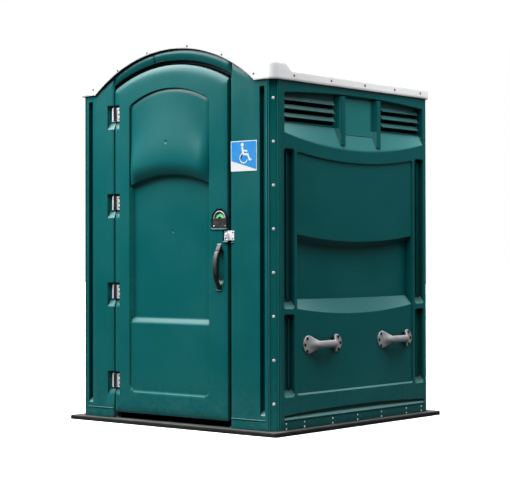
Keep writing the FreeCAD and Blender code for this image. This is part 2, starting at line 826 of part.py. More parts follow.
# Hinges: cranked leaves screwed in pockets on both sides of the gap, on a barrel that stands at the face
def hinges():
    axis_x = (v.doorway_left + v.door_left) / 2
    axis_y = -v.hinge_proud
    tall, depth = v.hinge_tall, v.hinge_pocket_deep
    plate = depth - v.hinge_leaf
    knuckle = tall / 3
    room = v.barrel_radius + v.clearance
    barrel = circle(axis_x, axis_y, v.barrel_radius)
    notch = quad(axis_x - room, axis_x + room, axis_y - room, axis_y + room)
    bore = circle(axis_x, axis_y, v.pin_radius + v.pin_clearance)
    pins = []
    for number, height in enumerate(hinge_heights(), start=1):
        low = height - tall / 2
        for kind, side, reach in (("jamb", -1, v.jamb_leaf_reach), ("door", 1, v.door_leaf_reach)):
            body = wall_body(f"hinge_{kind}_leaf_{number}", 0)
            near = axis_x + side * v.clearance * 4
            far, tip = near + side * v.hinge_crank, axis_x + side * reach
            crank = [(near, axis_y), (far, axis_y), (far, plate), (tip, plate), (tip, depth), (near, depth)]
            profile = outline(crank if side > 0 else crank[::-1])
            pad(body, "Leaf", profile, tall, "XY_Plane", lift=low, inwards=False)
            own = (1,) if kind == "door" else (0, 2)
            for place in range(3):
                start = low + knuckle * place
                if place in own:
                    long = knuckle - v.clearance
                    pad(body, f"Knuckle{place}", barrel, long, "XY_Plane", lift=start, inwards=False)
                else:
                    pocket(body, f"Notch{place}", notch, knuckle, "XY_Plane", lift=start + knuckle)
            pocket(body, "Bore", bore, tall + 2, "XY_Plane", lift=low + tall + 1)
        foot = Vector(axis_x, axis_y - half, deck_top + low - v.hinge_proud)
        pins.append(Part.makeCylinder(v.pin_radius, tall + 2 * v.hinge_proud, foot))
    shape_part("hinge_pins", Part.makeCompound(pins))


def leaf_screws(side, reach):
    """Three screws in each hinge leaf of one side, near the middle of its plate."""
    x = (v.doorway_left + v.door_left) / 2 + side * (reach + v.hinge_crank) * 0.6
    places = []
    for height in hinge_heights():
        for step in (-1, 0, 1):
            places.append((x, height + step * v.hinge_tall / 3, v.hinge_pocket_deep - v.hinge_leaf))
    return places


def front_screws(label, places):
    """Screw heads on the front; each place is x, height over the deck and depth behind the wall's face."""
    spots = [(Vector(x, depth - half, deck_top + z), Vector(0, -1, 0)) for x, z, depth in places]
    heads(label, spots, 3.5, 1.2, sides=8)


# Lock: a face plate with a half-moon window over an indicator disc, turned by a lever inside
def lock():
    x, z = v.lock_x, v.lock_z
    web, disc_near, disc_thick, room = v.lock_web, v.lock_web + 0.5, v.disc_thick, 2
    plate = wall_body("lock_face_plate", 0)
    pad(plate, "Plate", dome(x, z, v.lock_plate_half, v.lock_plate_drop), "Sizes.lock_pocket_deep")
    pocket(plate, "DiscRoom", circle(x, z, v.indicator_radius + room), "Sizes.lock_pocket_deep", lift=-web)
    window, hub, sill = v.indicator_radius - 3, v.lock_hub, z + 8
    moon = outline(
        [(x - window, sill), (x - hub, sill), (x + hub, sill), (x + window, sill)],
        [0, 2 - hub, 0, window - 4],
    )
    pocket(plate, "Window", moon, web)

    disc = wall_body("indicator_disc", 0)
    pad(disc, "Disc", circle(x, z, v.indicator_radius), disc_thick, lift=-disc_near)
    spindle_near = disc_near + disc_thick
    cam_near = v.jamb_deep + v.stop_thick + 1.5
    spindle = wall_body("lock_spindle", 0)
    pad(spindle, "Shaft", circle(x, z, v.spindle_radius), cam_near - spindle_near, lift=-spindle_near)
    cam = wall_body("lock_cam", 0)
    thick, tip, root = v.cam_thick, 10, 14
    tongue = [(x - v.cam_reach, z - tip), (x, z - root), (x, z + root), (x - v.cam_reach, z + tip)]
    pad(cam, "Tongue", outline(tongue, [0, root, 0, 0], [8, 0, 0, 8]), thick, lift=-cam_near)
    lever = wall_body("lock_lever", 0)
    lever_near, hub_long, grip_thick = cam_near + thick, 16, 9
    pad(lever, "Hub", circle(x, z, 15), hub_long, lift=-lever_near)
    end = x - v.lever_long
    grip = outline([(end, z - 8), (x, z - 11), (x, z + 11), (end, z + 8)], [0, 0, 0, 8])
    pad(lever, "Grip", grip, grip_thick, lift=grip_thick - hub_long - lever_near)
    inner_face = v.door_shell + v.door_back
    collar = wall_body("lock_collar", 0)
    pad(collar, "Collar", circle(x, z, root), v.jamb_deep + v.stop_thick - inner_face, lift=-inner_face)
    bore = circle(x, z, v.spindle_radius + v.pin_clearance)
    pocket(collar, "Bore", bore, v.jamb_deep, lift="-Sizes.door_shell")
    spots = [(Vector(x + side * 43, -half, deck_top + z - 38), Vector(0, -1, 0)) for side in (-1, 1)]
    heads("lock_screws", spots, 4, 1.5, sides=8)


# Hasp: an eye on the door and one on the jamb stand side by side and take one padlock
def hasp():
    z, tall, thick, proud = v.hasp_z, v.hasp_tall, v.hasp_thick, v.hasp_proud
    door_tab = v.door_right - 2 - thick
    halves = (
        ("hasp_door_eye", v.hasp_pocket_left + 6, v.door_right - 2, door_tab, v.hasp_pocket_deep),
        ("hasp_jamb_eye", door_tab + thick + 2, v.hasp_jamb_right, door_tab + thick + 2, 0),
    )
    for label, x0, x1, tab, depth in halves:
        body = wall_body(label, 0)
        near = depth - thick
        pad(body, "Plate", quad(x0, x1, z - tall / 2, z + tall / 2), thick, lift=-near)
        low, high = z - tall * 0.3, z + tall * 0.3
        eye = outline([(-proud, low), (near, low), (near, high), (-proud, high)], radii=[8, 0, 0, 8])
        pad(body, "Tab", eye, thick, "YZ_Plane", lift=tab, inwards=False)
        hole = circle(-proud / 2, z, proud / 4)
        pocket(body, "EyeHole", hole, thick, "YZ_Plane", lift=tab, flip=True)


def door_and_jamb_screws():
    deep = v.hasp_pocket_deep - v.hasp_thick
    door_hasp = [(v.hasp_pocket_left + 14, v.hasp_z + step * 18, deep) for step in (-1, 1)]
    jamb_hasp = [(v.hasp_jamb_right - 10, v.hasp_z + step * 18, -v.hasp_thick) for step in (-1, 1)]
    front_screws("door_screws", leaf_screws(1, v.door_leaf_reach) + door_hasp)
    front_screws("jamb_screws", leaf_screws(-1, v.jamb_leaf_reach) + jamb_hasp)


# Door handle: an arched strap over a finger pocket
def door_handle():
    body = wall_body("door_handle", 0)
    z, reach, foot = v.handle_z, v.handle_tall / 2, v.handle_strap + 6
    arched = outline(
        [(0, z - reach), (0, z - reach + foot), (0, z + reach - foot), (0, z + reach)],
        [0, v.handle_strap - v.handle_proud, 0, v.handle_proud],
        [1.5, 0, 0, 1.5],
    )
    low = v.handle_x - v.handle_wide / 2
    pad(body, "Strap", arched, "Sizes.handle_wide", "YZ_Plane", lift=low, inwards=False)


# Handles on the side walls: a bow between two fan-shaped feet
def bow(middle, reach, proud, strap, foot, slope):
    """A strap bow along X: feet on the wall at both ends, the middle standing out."""
    heel, throat = strap * 0.8, slope + 8
    half_bow = [(reach, 0), (reach, -heel), (reach - foot, -heel), (reach - foot - slope, -proud)]
    inner = [(foot + throat - reach, strap - proud), (foot + 4 - reach, 0)]
    points = [(-a, b) for a, b in half_bow] + half_bow[::-1] + [(-a, b) for a, b in inner[::-1]] + inner
    return outline([(middle + a, b) for a, b in points], radii=[0, 0, 10, 16, 16, 10, 0, 0, 0, 8, 8, 0])


def side_grip(label, turn, x):
    body = wall_body(label, turn, "Sizes.panel_deep")
    reach, fan, bar = v.grip_long / 2, v.grip_fan / 2, v.grip_bar / 2
    z = v.grip_z
    for side in (-1, 1):
        tip, neck = x + side * (reach - 30), x + side * (reach - 78)
        corners = [(neck, z - bar), (tip, z - fan), (tip, z + fan), (neck, z + bar)]
        fan_edges = outline(corners if side > 0 else corners[::-1], [-6, 30, -6, 0], [0, 6, 6, 0])
        pad(body, f"Fan{side + 1}", fan_edges, 6, lift=6)
    strap = bow(x, reach - 34, v.grip_proud, v.grip_strap, 20, 42)
    pad(body, "Strap", strap, "Sizes.grip_bar", "XY_Plane", lift=z - bar, inwards=False)


def grips():
    bolts = []
    for side, turn in (("right", 90), ("left", -90)):
        for name, x in (("front", v.grip_front), ("rear", v.grip_rear)):
            place = (x + v.side_shift) * (1 if side == "right" else -1)
            side_grip(f"side_handle_{side}_{name}", turn, place)
            for end in (-1, 1):
                for dx, dz in ((-14, 0), (-34, 36), (-34, -36)):
                    across = place + end * (v.grip_long / 2 + dx)
                    spot = wall_point(turn, across, v.grip_z + dz, 6 - v.panel_deep)
                    bolts.append((spot, wall_way(turn)))
    heads("side_handle_bolts", bolts, 6, 2.5, sides=6)


# Fasteners of the shell
def shell_fasteners():
    rivets = []
    for corner in range(4):
        turn = FreeCAD.Rotation(Vector(0, 0, 1), 90 * corner)
        for i in range(8):
            middle = (half + edge) / 2
            spot = turn.multVec(Vector(middle, -middle, deck_top + v.rivet_low + v.rivet_pitch * i))
            rivets.append((spot, turn.multVec(Vector(1, -1, 0))))
    heads("post_rivets", rivets, "Sizes.rivet_radius", "Sizes.rivet_proud", sides=8)
    feet = []
    for turn in WALLS.values():
        for x in (-680, -514, -246, 0, 246, 514, 680):
            for z in (8, 36):
                feet.append((wall_point(turn, x + 7, z), wall_way(turn)))
    heads("foot_screws", feet, "Sizes.screw_radius", "Sizes.screw_proud", sides=6)


FRONT_SCREWS = (-0.85, -0.58, -0.26, 0.16, 0.51, 0.82)
SIDE_SCREWS = (-0.78, -0.33, 0.1, 0.5, 0.86)
REAR_SCREWS = (-0.9, 0.9)


def roof_screws():
    """Screws square to the drafted skirt, at shares of the wall's half; the front row climbs the arch."""
    tilt = math.atan2(v.skirt_draft, v.envelope_top - v.skirt_foot)
    rim = Arch(-v.vault_half, v.vault_half, v.rim_arch_foot, v.rim_arch_peak)
    row = v.skirt_foot + v.roof_screw_rise
    front = []
    for share in FRONT_SCREWS:
        x = share * half
        inside = abs(x) < 0.9 * v.vault_half
        front.append((x, rim.height(x) + v.roof_screw_rise / 2 if inside else row + v.roof_screw_radius))
    spots = []
    walls = (
        (0, front),
        (WALLS["right"], [(share * half, row) for share in SIDE_SCREWS]),
        (WALLS["left"], [(-share * half, row) for share in SIDE_SCREWS]),
        (WALLS["rear"], [(share * half, row) for share in REAR_SCREWS]),
    )
    for turn, places in walls:
        for x, z in places:
            out = v.skirt_proud - (z - v.skirt_foot) * math.tan(tilt)
            way = wall_way(turn) * math.cos(tilt) + Vector(0, 0, math.sin(tilt))
            spots.append((wall_point(turn, x, z, out), way))
    heads("roof_screws", spots, "Sizes.roof_screw_radius", "Sizes.screw_proud", sides=8)


# Toilet: a tank and its top, a seat ring and a lid on one rod, and a vent pipe through the roof
def ellipse(y, across, along):
    long_first = across >= along
    major, minor = (across, along) if long_first else (along, across)
    tip = Vector(major, y, 0) if long_first else Vector(0, y + major, 0)
    side = Vector(0, y + minor, 0) if long_first else Vector(minor, y, 0)
    return [Part.Ellipse(tip, side, Vector(0, y, 0))]


def seat_outline(rear, rear_half):
    """The plan of the seat: a round front, full sides and a straight rear edge."""
    wide, front, full = v.seat_half, v.seat_front, v.seat_full
    corners = [(-wide, full), (wide, full), (rear_half, rear), (-rear_half, rear)]
    return outline(corners, [full - front, 25, 0, 25])


ALONG_X = FreeCAD.Rotation(Vector(1, 1, 1), 120)


def seat_ears(axis_y, axis_z, boss, bore):
    """Two plates behind the seat's rear edge that carry it on the rod."""
    rear, foot, crown = v.seat_rear, v.tank_tall + 4, v.tank_tall + v.seat_thick
    over, under = axis_z + boss, axis_z - boss
    profile = outline(
        [(rear, foot), (axis_y, under), (axis_y, over), (axis_y - boss, over), (rear, crown)],
        [0, boss, 0, 0, 0],
    )
    thick = v.ear_thick
    ear = prism(profile, Vector(0, 0, thick)).cut(prism(bore, Vector(0, 0, thick)))
    ears = []
    for start in (v.ear_in, -v.ear_in - thick):
        turned = ear.copy()
        turned.Placement = FreeCAD.Placement(Vector(start, 0, deck_top), ALONG_X)
        ears.append(turned)
    shape_part("seat_hinge_ears", Part.makeCompound(ears))


def toilet():
    skin, top = v.tank_skin, v.tank_tall
    wide, front, rear = v.tank_half, v.tank_front, v.tank_rear
    rim = "Sizes.tank_tall - Sizes.tank_skin"
    tank = new_body("waste_tank")

    def plan(grow, front_shift=0):
        return outline(
            [(-wide - grow, front - grow + front_shift), (wide + grow, front - grow + front_shift),
             (wide + grow, rear + grow), (-wide - grow, rear + grow)],
            radii=[60, 60, 0, 0],
        )

    shell = tank.newObject("PartDesign::AdditiveLoft", "Shell")
    shell.Profile = sketch(tank, "ShellFoot", plan(0, v.tank_lean), "XY_Plane")
    shell.Sections = [sketch(tank, "ShellTop", plan(0), "XY_Plane", lift=rim)]
    shell.Ruled = True
    inside = tank.newObject("PartDesign::SubtractiveLoft", "Inside")
    inside.Profile = sketch(tank, "InsideFoot", plan(-skin, v.tank_lean), "XY_Plane", lift="Sizes.tank_skin")
    inside.Sections = [sketch(tank, "InsideTop", plan(-skin), "XY_Plane", lift=rim)]
    inside.Ruled = True

    deck = new_body("tank_top")
    pad(deck, "Plate", plan(0), "Sizes.tank_skin", "XY_Plane", lift=rim, inwards=False)
    hole = ellipse(v.seat_hole_y, v.seat_hole_half - skin, v.seat_hole_long_half - skin)
    pocket(deck, "SeatHole", hole, "Sizes.tank_skin", "XY_Plane", lift="Sizes.tank_tall")
    vent_hole = circle(v.pipe_x, v.pipe_y, v.pipe_radius - v.pipe_wall)
    pocket(deck, "VentHole", vent_hole, "Sizes.tank_skin", "XY_Plane", lift="Sizes.tank_tall")
    axis_y, axis_z, boss = v.seat_axis_y, top + v.seat_axis_rise, v.lid_thick / 2
    lug_foot = [(axis_y - v.lug_foot, top), (axis_y + v.lug_foot, top)]
    lug = outline(lug_foot + [(axis_y + boss, axis_z), (axis_y - boss, axis_z)], [0, 0, boss, 0])
    thick = v.ear_thick
    lug_in = v.ear_in + thick + 5
    for tag, start in (("Right", lug_in), ("Left", -lug_in - thick)):
        pad(deck, "Lug" + tag, lug, "Sizes.ear_thick", "YZ_Plane", lift=start, inwards=False)
    bore = circle(axis_y, axis_z, v.rod_radius + v.pin_clearance)
    rod_long = 2 * (lug_in + thick + 5)
    pocket(deck, "RodBore", bore, rod_long, "YZ_Plane", middle=True)

    rod = new_body("seat_hinge_rod")
    pad(rod, "Rod", circle(axis_y, axis_z, v.rod_radius), rod_long, "YZ_Plane", middle=True)

    seat = new_body("toilet_seat")
    gap = ellipse(v.seat_hole_y, v.seat_hole_half, v.seat_hole_long_half)
    ring = seat_outline(v.seat_rear, v.ear_in + v.ear_thick + 15)
    pad(seat, "Ring", ring + gap, "Sizes.seat_thick", "XY_Plane", lift="Sizes.tank_tall", inwards=False)
    seat_ears(axis_y, axis_z, boss, bore)

    lid = doc.addObject("PartDesign::Body", "seat_lid")
    lid.Label = "seat_lid"
    parts.append(lid)
    cover_low = top + v.seat_thick + v.lid_gap
    lid_root = v.ear_in * 8 / 15
    cover = seat_outline(axis_y, lid_root)
    pad(lid, "Cover", cover, "Sizes.lid_thick", "XY_Plane", lift=cover_low, inwards=False)
    barrel = circle(axis_y, axis_z, boss)
    pad(lid, "Barrel", barrel, 2 * lid_root, "YZ_Plane", middle=True)
    pocket(lid, "RodBore", bore, rod_long, "YZ_Plane", middle=True)
    pivot = Vector(0, axis_y, axis_z + deck_top)
    raised = FreeCAD.Placement(Vector(), FreeCAD.Rotation(Vector(-1, 0, 0), v.lid_lean), pivot)
    lid.Placement = raised.multiply(FreeCAD.Placement(Vector(0, 0, deck_top), FreeCAD.Rotation()))

    pipe = new_body("vent_pipe")
    outer = circle(v.pipe_x, v.pipe_y, v.pipe_radius)
    bore = circle(v.pipe_x, v.pipe_y, v.pipe_radius - v.pipe_wall)
    long = "Sizes.pipe_top - Sizes.tank_tall"
    pad(pipe, "Tube", outer + bore, long, "XY_Plane", lift="Sizes.tank_tall", inwards=False)
    cap = new_body("vent_cap")
    cowl = v.pipe_radius + v.cap_over
    around = circle(v.pipe_x, v.pipe_y, cowl)
    pad(cap, "Cowl", around, "Sizes.cap_tall", "XY_Plane", lift="Sizes.cap_low", inwards=False)
    hollow = circle(v.pipe_x, v.pipe_y, cowl - 4)
    pocket(cap, "Hollow", hollow, "Sizes.cap_tall - 6", "XY_Plane", lift="Sizes.cap_low", flip=True)
    rib = quad(v.pipe_x - cowl + 2, v.pipe_x + cowl - 2, v.pipe_y - 2, v.pipe_y + 2)
    tall = "Sizes.cap_low + Sizes.cap_tall - 6 - Sizes.pipe_top"
    pad(cap, "Rib", rib, tall, "XY_Plane", lift="Sizes.pipe_top", inwards=False)


# Rails and paper holder inside
def rail(label, side):
    """A bent tube with a flange at each end, on the inner face of a side wall's well."""
    wall_x = half - v.well_deep - v.wall_skin
    bar_x = wall_x - v.rail_stand
    z = deck_top + v.rail_z
    bend, y0, y1 = v.rail_bend, v.rail_front, v.rail_rear
    cut = bend * (1 - math.sqrt(0.5))
    points = [
        Vector(wall_x, y0, z),
        Vector(bar_x + bend, y0, z),
        Vector(bar_x + cut, y0 + cut, z),
        Vector(bar_x, y0 + bend, z),
        Vector(bar_x, y1 - bend, z),
        Vector(bar_x + cut, y1 - cut, z),
        Vector(bar_x + bend, y1, z),
        Vector(wall_x, y1, z),
    ]
    path = Part.Wire(
        [
            Part.LineSegment(points[0], points[1]).toShape(),
            Part.Arc(points[1], points[2], points[3]).toShape(),
            Part.LineSegment(points[3], points[4]).toShape(),
            Part.Arc(points[4], points[5], points[6]).toShape(),
            Part.LineSegment(points[6], points[7]).toShape(),
        ]
    )
    ring = Part.Wire(Part.makeCircle(v.rail_radius, points[0], Vector(1, 0, 0)))
    tube = path.makePipeShell([ring], True, False)
    discs = [Part.makeCylinder(v.rail_flange, 5, Vector(wall_x - 5, y, z), Vector(1, 0, 0)) for y in (y0, y1)]
    shape = tube.fuse(discs).removeSplitter()
    if side < 0:
        shape = shape.mirror(Vector(), Vector(1, 0, 0))
    shape_part(label, shape)


def paper():
    """A spindle between two arms on the left wall's well, and the roll on it."""
    wall_x = -(half - v.well_deep - v.wall_skin)
    x = wall_x + v.roll_radius + 12
    z = deck_top + v.paper_z
    y = v.paper_y
    reach = v.roll_wide / 2 + 4
    arms = [Part.makeBox(6, 2 * reach + 8, 60, Vector(wall_x, y - reach - 4, z - 30))]
    for side in (-1, 1):
        low = y + side * reach - (4 if side < 0 else 0)
        arm = outline([(wall_x, z - 22), (x, z - 14), (x, z + 14), (wall_x, z + 22)], [0, 14, 0, 0])
        arms.append(prism(arm, Vector(0, 4, 0), upright(low)))
    bracket = arms[0].fuse(arms[1:]).removeSplitter()
    shape_part("paper_holder", bracket)
    core = v.roll_core
    spindle = Part.makeCylinder(core - v.clearance, 2 * reach, Vector(x, y - reach, z), Vector(0, 1, 0))
    shape_part("paper_spindle", spindle)
    roll = Part.makeCylinder(v.roll_radius, v.roll_wide, Vector(x, y - v.roll_wide / 2, z), Vector(0, 1, 0))
    hole = Part.makeCylinder(core, v.roll_wide, Vector(x, y - v.roll_wide / 2, z), Vector(0, 1, 0))
    shape_part("paper_roll", roll.cut(hole))


base()
posts()
front_left()
front_right()
door_stop()
sill_clips()
left_side_wall(right_side_wall())
rear_wall()
roof()
door()
hinges()
lock()
hasp()
door_handle()
grips()
door_and_jamb_screws()
shell_fasteners()
roof_screws()
toilet()
rail("grab_rail_right", 1)
rail("grab_rail_left", -1)
paper()

doc.recompute()
for thing in doc.Objects:
    if "Invalid" in thing.State or "Error" in thing.State:
        raise RuntimeError(f"{thing.Label} failed: {thing.State}")
for part in parts:
    if part.Shape.isNull() or not part.Shape.isValid():
        raise RuntimeError(f"{part.Label} has no valid shape")
    part.Shape.exportStep(f"parts/{part.Label}.step")
print(len(parts), "parts")
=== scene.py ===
from math import atan2, copysign, cos, degrees, exp, pi, radians, sin, sqrt

import bmesh
import bpy
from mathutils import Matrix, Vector


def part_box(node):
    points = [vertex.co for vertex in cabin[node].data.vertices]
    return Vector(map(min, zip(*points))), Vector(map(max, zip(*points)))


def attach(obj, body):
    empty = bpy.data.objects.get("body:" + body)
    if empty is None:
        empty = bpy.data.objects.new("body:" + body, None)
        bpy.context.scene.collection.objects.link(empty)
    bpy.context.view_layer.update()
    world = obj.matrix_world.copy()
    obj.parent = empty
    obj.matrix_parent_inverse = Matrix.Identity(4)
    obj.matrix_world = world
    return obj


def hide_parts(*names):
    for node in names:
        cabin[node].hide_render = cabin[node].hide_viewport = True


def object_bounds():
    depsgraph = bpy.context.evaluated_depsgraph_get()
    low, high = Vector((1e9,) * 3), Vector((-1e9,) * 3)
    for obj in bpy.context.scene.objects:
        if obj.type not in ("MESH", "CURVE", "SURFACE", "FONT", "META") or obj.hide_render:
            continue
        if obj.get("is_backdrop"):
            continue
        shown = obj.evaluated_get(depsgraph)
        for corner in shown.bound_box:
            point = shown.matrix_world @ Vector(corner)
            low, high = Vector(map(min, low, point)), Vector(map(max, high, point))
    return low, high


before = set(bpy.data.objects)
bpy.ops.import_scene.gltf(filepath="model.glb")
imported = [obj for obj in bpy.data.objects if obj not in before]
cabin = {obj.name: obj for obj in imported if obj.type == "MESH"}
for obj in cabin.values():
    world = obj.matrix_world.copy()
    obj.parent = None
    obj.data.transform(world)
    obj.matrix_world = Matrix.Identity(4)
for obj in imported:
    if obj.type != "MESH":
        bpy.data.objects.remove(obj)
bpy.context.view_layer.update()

# Studio
# The camera stands where the photograph was taken from, a little below head height and far off. A soft sun is
# overhead, softboxes hang high at the front and the right, two weak lamps fill in, and the floor is white.
photo_width, photo_focal = 510, 1553.2


def placed(name, data):
    """A new object in the scene."""
    thing = bpy.data.objects.new(name, data)
    bpy.context.collection.objects.link(thing)
    return thing


camera = placed("Camera", bpy.data.cameras.new("Camera"))
camera.data.sensor_width = 36
camera.data.lens = photo_focal / photo_width * camera.data.sensor_width
camera.location = (6.3123, -7.528, 1.0058)
camera.rotation_euler = (radians(90.70), radians(0.12), radians(40.05))
bpy.context.scene.camera = camera
bpy.context.scene.view_settings.view_transform = "Standard"


def wire(source, socket):
    """Joins a node's output to an input."""
    socket.id_data.links.new(source, socket)


def add(tree, kind, inputs=None, **settings):
    """A node with its settings and its inputs, which are values or sockets."""
    made = tree.nodes.new(kind)
    for name, value in settings.items():
        setattr(made, name, value)
    for name, value in (inputs or {}).items():
        if isinstance(value, bpy.types.NodeSocket):
            wire(value, made.inputs[name])
        else:
            made.inputs[name].default_value = value
    return made


def maths(tree, operation, *values, **settings):
    """The result of a sum on values or sockets."""
    return add(tree, "ShaderNodeMath", dict(enumerate(values)), operation=operation, **settings).outputs[0]


def ranged(tree, value, low, high, new_low=0.0, new_high=1.0, **settings):
    """A value carried over from one range to another, and held within it."""
    inputs = {"Value": value, "From Min": low, "From Max": high, "To Min": new_low, "To Max": new_high}
    return add(tree, "ShaderNodeMapRange", inputs, **settings).outputs["Result"]


def xyz(tree, vector):
    """The three parts of a vector, by name."""
    return add(tree, "ShaderNodeSeparateXYZ", {"Vector": vector}).outputs


def new_paint(name):
    """A new material, its node tree and its shader's inputs."""
    paint = bpy.data.materials.new(name)
    paint.use_nodes = True
    return paint, paint.node_tree, paint.node_tree.nodes["Principled BSDF"].inputs


def lamp(name, kind, place, aim, energy, **settings):
    """A lamp of a kind, at a place and aimed at a point."""
    data = bpy.data.lights.new(name, kind)
    data.energy = energy
    for key, value in settings.items():
        setattr(data, key, value)
    thing = placed(name, data)
    thing.location = place
    thing.rotation_euler = (Vector(aim) - Vector(place)).to_track_quat("-Z", "Y").to_euler()


lamp("HighSun", "SUN", (0.5, -1.7, 6.0), (0, 0, 0), 3.4, angle=radians(40))
softboxes = (
    # name, place, aim, energy, width, height
    ("FrontSoftbox", (-1.7, -2.5, 4.0), (0, -0.78, 1.5), 225, 3.0, 2.2),
    ("RightSoftbox", (2.1, 0.7, 3.4), (0.78, 0.4, 1.7), 34, 1.2, 1.6),
    ("LowGlow", (-2.6, -3.2, 2.6), (0, -0.78, 1.7), 3.2, 0.8, 0.5),
    ("SideGlow", (5.0, 6.7, 3.1), (0.78, 0.5, 1.9), 5, 1.6, 3.0),
)
for name, place, aim, energy, wide, tall in softboxes:
    lamp(name, "AREA", place, aim, energy, shape="RECTANGLE", size=wide, size_y=tall)

world = bpy.data.worlds.new("Studio")
world.use_nodes = True
bpy.context.scene.world = world
air = world.node_tree
upward = xyz(air, add(air, "ShaderNodeTexCoord").outputs["Generated"])
leaning = maths(air, "MULTIPLY_ADD", upward["X"], -0.15, upward["Z"])
dome = ranged(air, leaning, 0.50, 0.88, 0.02, 4.6)
glow = ranged(air, add(air, "ShaderNodeLightPath").outputs["Is Camera Ray"], 0, 1, dome, 1.0)
wire(glow, air.nodes["Background"].inputs["Strength"])
air.nodes["Background"].inputs["Color"].default_value = (1.0, 1.0, 1.0, 1)

floor_half = 40
square = ((-1, -1), (1, -1), (1, 1), (-1, 1))
floor_mesh = bpy.data.meshes.new("Floor")
floor_mesh.from_pydata([(x * floor_half, y * floor_half, 0) for x, y in square], [], [(0, 1, 2, 3)])
floor = placed("Floor", floor_mesh)
floor_paint, floor_tree, floor_shader = new_paint("Floor")
direct = add(floor_tree, "ShaderNodeLightPath").outputs["Is Camera Ray"]
wire(ranged(floor_tree, direct, 0, 1, 0.03, 0.95), floor_shader["Base Color"])
floor_shader["Roughness"].default_value = 1.0
floor_mesh.materials.append(floor_paint)
floor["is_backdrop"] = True

# Walls, posts and door: green mouldings
# Satin polyethylene with the mould's fine grain, slow waves and rounded edges, which handling polishes. Dust
# lies near the ground. Shade is painted into crevices and side channels, light onto upward faces and vent
# bays.


def group_tree(name, kind, inputs, outputs):
    """An empty node group. Each socket has a kind, or a number that makes it a float of that value."""
    tree = bpy.data.node_groups.new(name, kind)
    for label, value in inputs.items():
        plain = not isinstance(value, str)
        socket = "NodeSocketFloat" if plain else "NodeSocket" + value
        made = tree.interface.new_socket(label, in_out="INPUT", socket_type=socket)
        if plain:
            made.default_value = value
    for label, socket in outputs.items():
        tree.interface.new_socket(label, in_out="OUTPUT", socket_type="NodeSocket" + socket)
    return tree, tree.nodes.new("NodeGroupInput").outputs, tree.nodes.new("NodeGroupOutput").inputs


def mixed(tree, share, first, second):
    """The colour between two colours, by a share. The Mix node's colours are its sockets 6, 7 and 2."""
    return add(tree, "ShaderNodeMix", {0: share, 6: first, 7: second}, data_type="RGBA").outputs[2]


def noise(tree, place, scale, detail, rough=0.5):
    """A soft noise between 0 and 1."""
    inputs = {"Vector": place, "Scale": scale, "Detail": detail, "Roughness": rough}
    return add(tree, "ShaderNodeTexNoise", inputs).outputs["Fac"]


def moulded_skin():
    """Mottled colour, dust and a grained, faintly wavy surface, as a mould and the weather leave them, with
    painted light on upward faces and painted shade in crevices.
    """
    tree, given, end = group_tree(
        "Moulded Skin", "ShaderNodeTree",
        {
            "Place": "Vector", "Colour": "Color", "Pale": "Color", "Mottle": 0.3, "Mottle Scale": 3.0,
            "Grain Scale": 700.0, "Wave Scale": 2.2, "Edge Polish": 0.3, "Edge Radius": 0.0045, "Dust": 0.08,
            "Dust Height": 0.35, "Crevice": 0.93, "Crevice Reach": 0.05, "Sun Fade": 0.0,
        },
        {"Colour": "Color", "Roughening": "Float", "Height": "Float", "Edge Normal": "Vector"},
    )
    dust_tint, crevice_shade_tint, painted_top_tint = (0.30, 0.29, 0.26, 1), (0.001, 0.004, 0.004, 1), (0.60, 0.78, 0.78, 1)
    place = given["Place"]
    patch = ranged(tree, noise(tree, place, given["Mottle Scale"], 5.0), 0.38, 0.68)
    fine = noise(tree, place, given["Grain Scale"], 1.0)
    waves = noise(tree, place, given["Wave Scale"], 1.0)
    mottled = mixed(tree, maths(tree, "MULTIPLY", patch, given["Mottle"]), given["Colour"], given["Pale"])

    rounded = add(tree, "ShaderNodeBevel", {"Radius": given["Edge Radius"]}, samples=4).outputs["Normal"]
    flat = add(tree, "ShaderNodeNewGeometry").outputs
    agree = add(tree, "ShaderNodeVectorMath", {0: rounded, 1: flat["True Normal"]}, operation="DOT_PRODUCT")
    bend = ranged(tree, agree.outputs["Value"], 0.98, 0.8)
    worn = maths(tree, "MULTIPLY", bend, given["Edge Polish"])
    edged = mixed(tree, worn, mottled, given["Pale"])

    low = ranged(tree, xyz(tree, place)["Z"], given["Dust Height"], 0.0)
    cling = ranged(tree, noise(tree, place, 26.0, 6.0, 0.7), 0.42, 0.72)
    dust = maths(tree, "MULTIPLY", maths(tree, "MULTIPLY", low, cling), given["Dust"])
    dusted = mixed(tree, dust, edged, dust_tint)
    # Painted top light: faces that look upwards are mixed towards a pale tint, as if lit from above.
    sunlit = ranged(tree, xyz(tree, flat["Normal"])["Z"], 0.26, 0.85)
    fade = maths(tree, "MULTIPLY", sunlit, given["Sun Fade"])
    top_lit_colour = mixed(tree, fade, dusted, mixed(tree, 0.16, given["Pale"], painted_top_tint))
    # Painted shade: the colour goes near black where ambient occlusion finds a crevice or recess.
    open_air = add(tree, "ShaderNodeAmbientOcclusion", {"Distance": given["Crevice Reach"]}, samples=4)
    crevice_shade = maths(tree, "MULTIPLY", ranged(tree, open_air.outputs["AO"], 0.88, 0.42), given["Crevice"])
    wire(mixed(tree, crevice_shade, top_lit_colour, crevice_shade_tint), end["Colour"])

    rougher = maths(tree, "MULTIPLY_ADD", patch, 0.10, dust)
    wire(maths(tree, "MULTIPLY_ADD", worn, -0.25, rougher), end["Roughening"])
    slow = maths(tree, "MULTIPLY", waves, 0.9)
    wire(maths(tree, "MULTIPLY_ADD", fine, 0.035, slow), end["Height"])
    wire(rounded, end["Edge Normal"])
    return tree


skin_group = moulded_skin()


def object_place(tree):
    """The place on the object, in metres."""
    return add(tree, "ShaderNodeTexCoord").outputs["Object"]


def tinted(tree, mask, tint):
    """Lays a tint over the shader's colour, by a mask."""
    base = tree.nodes["Principled BSDF"].inputs["Base Color"]
    wire(mixed(tree, mask, base.links[0].from_socket, (*tint, 1)), base)


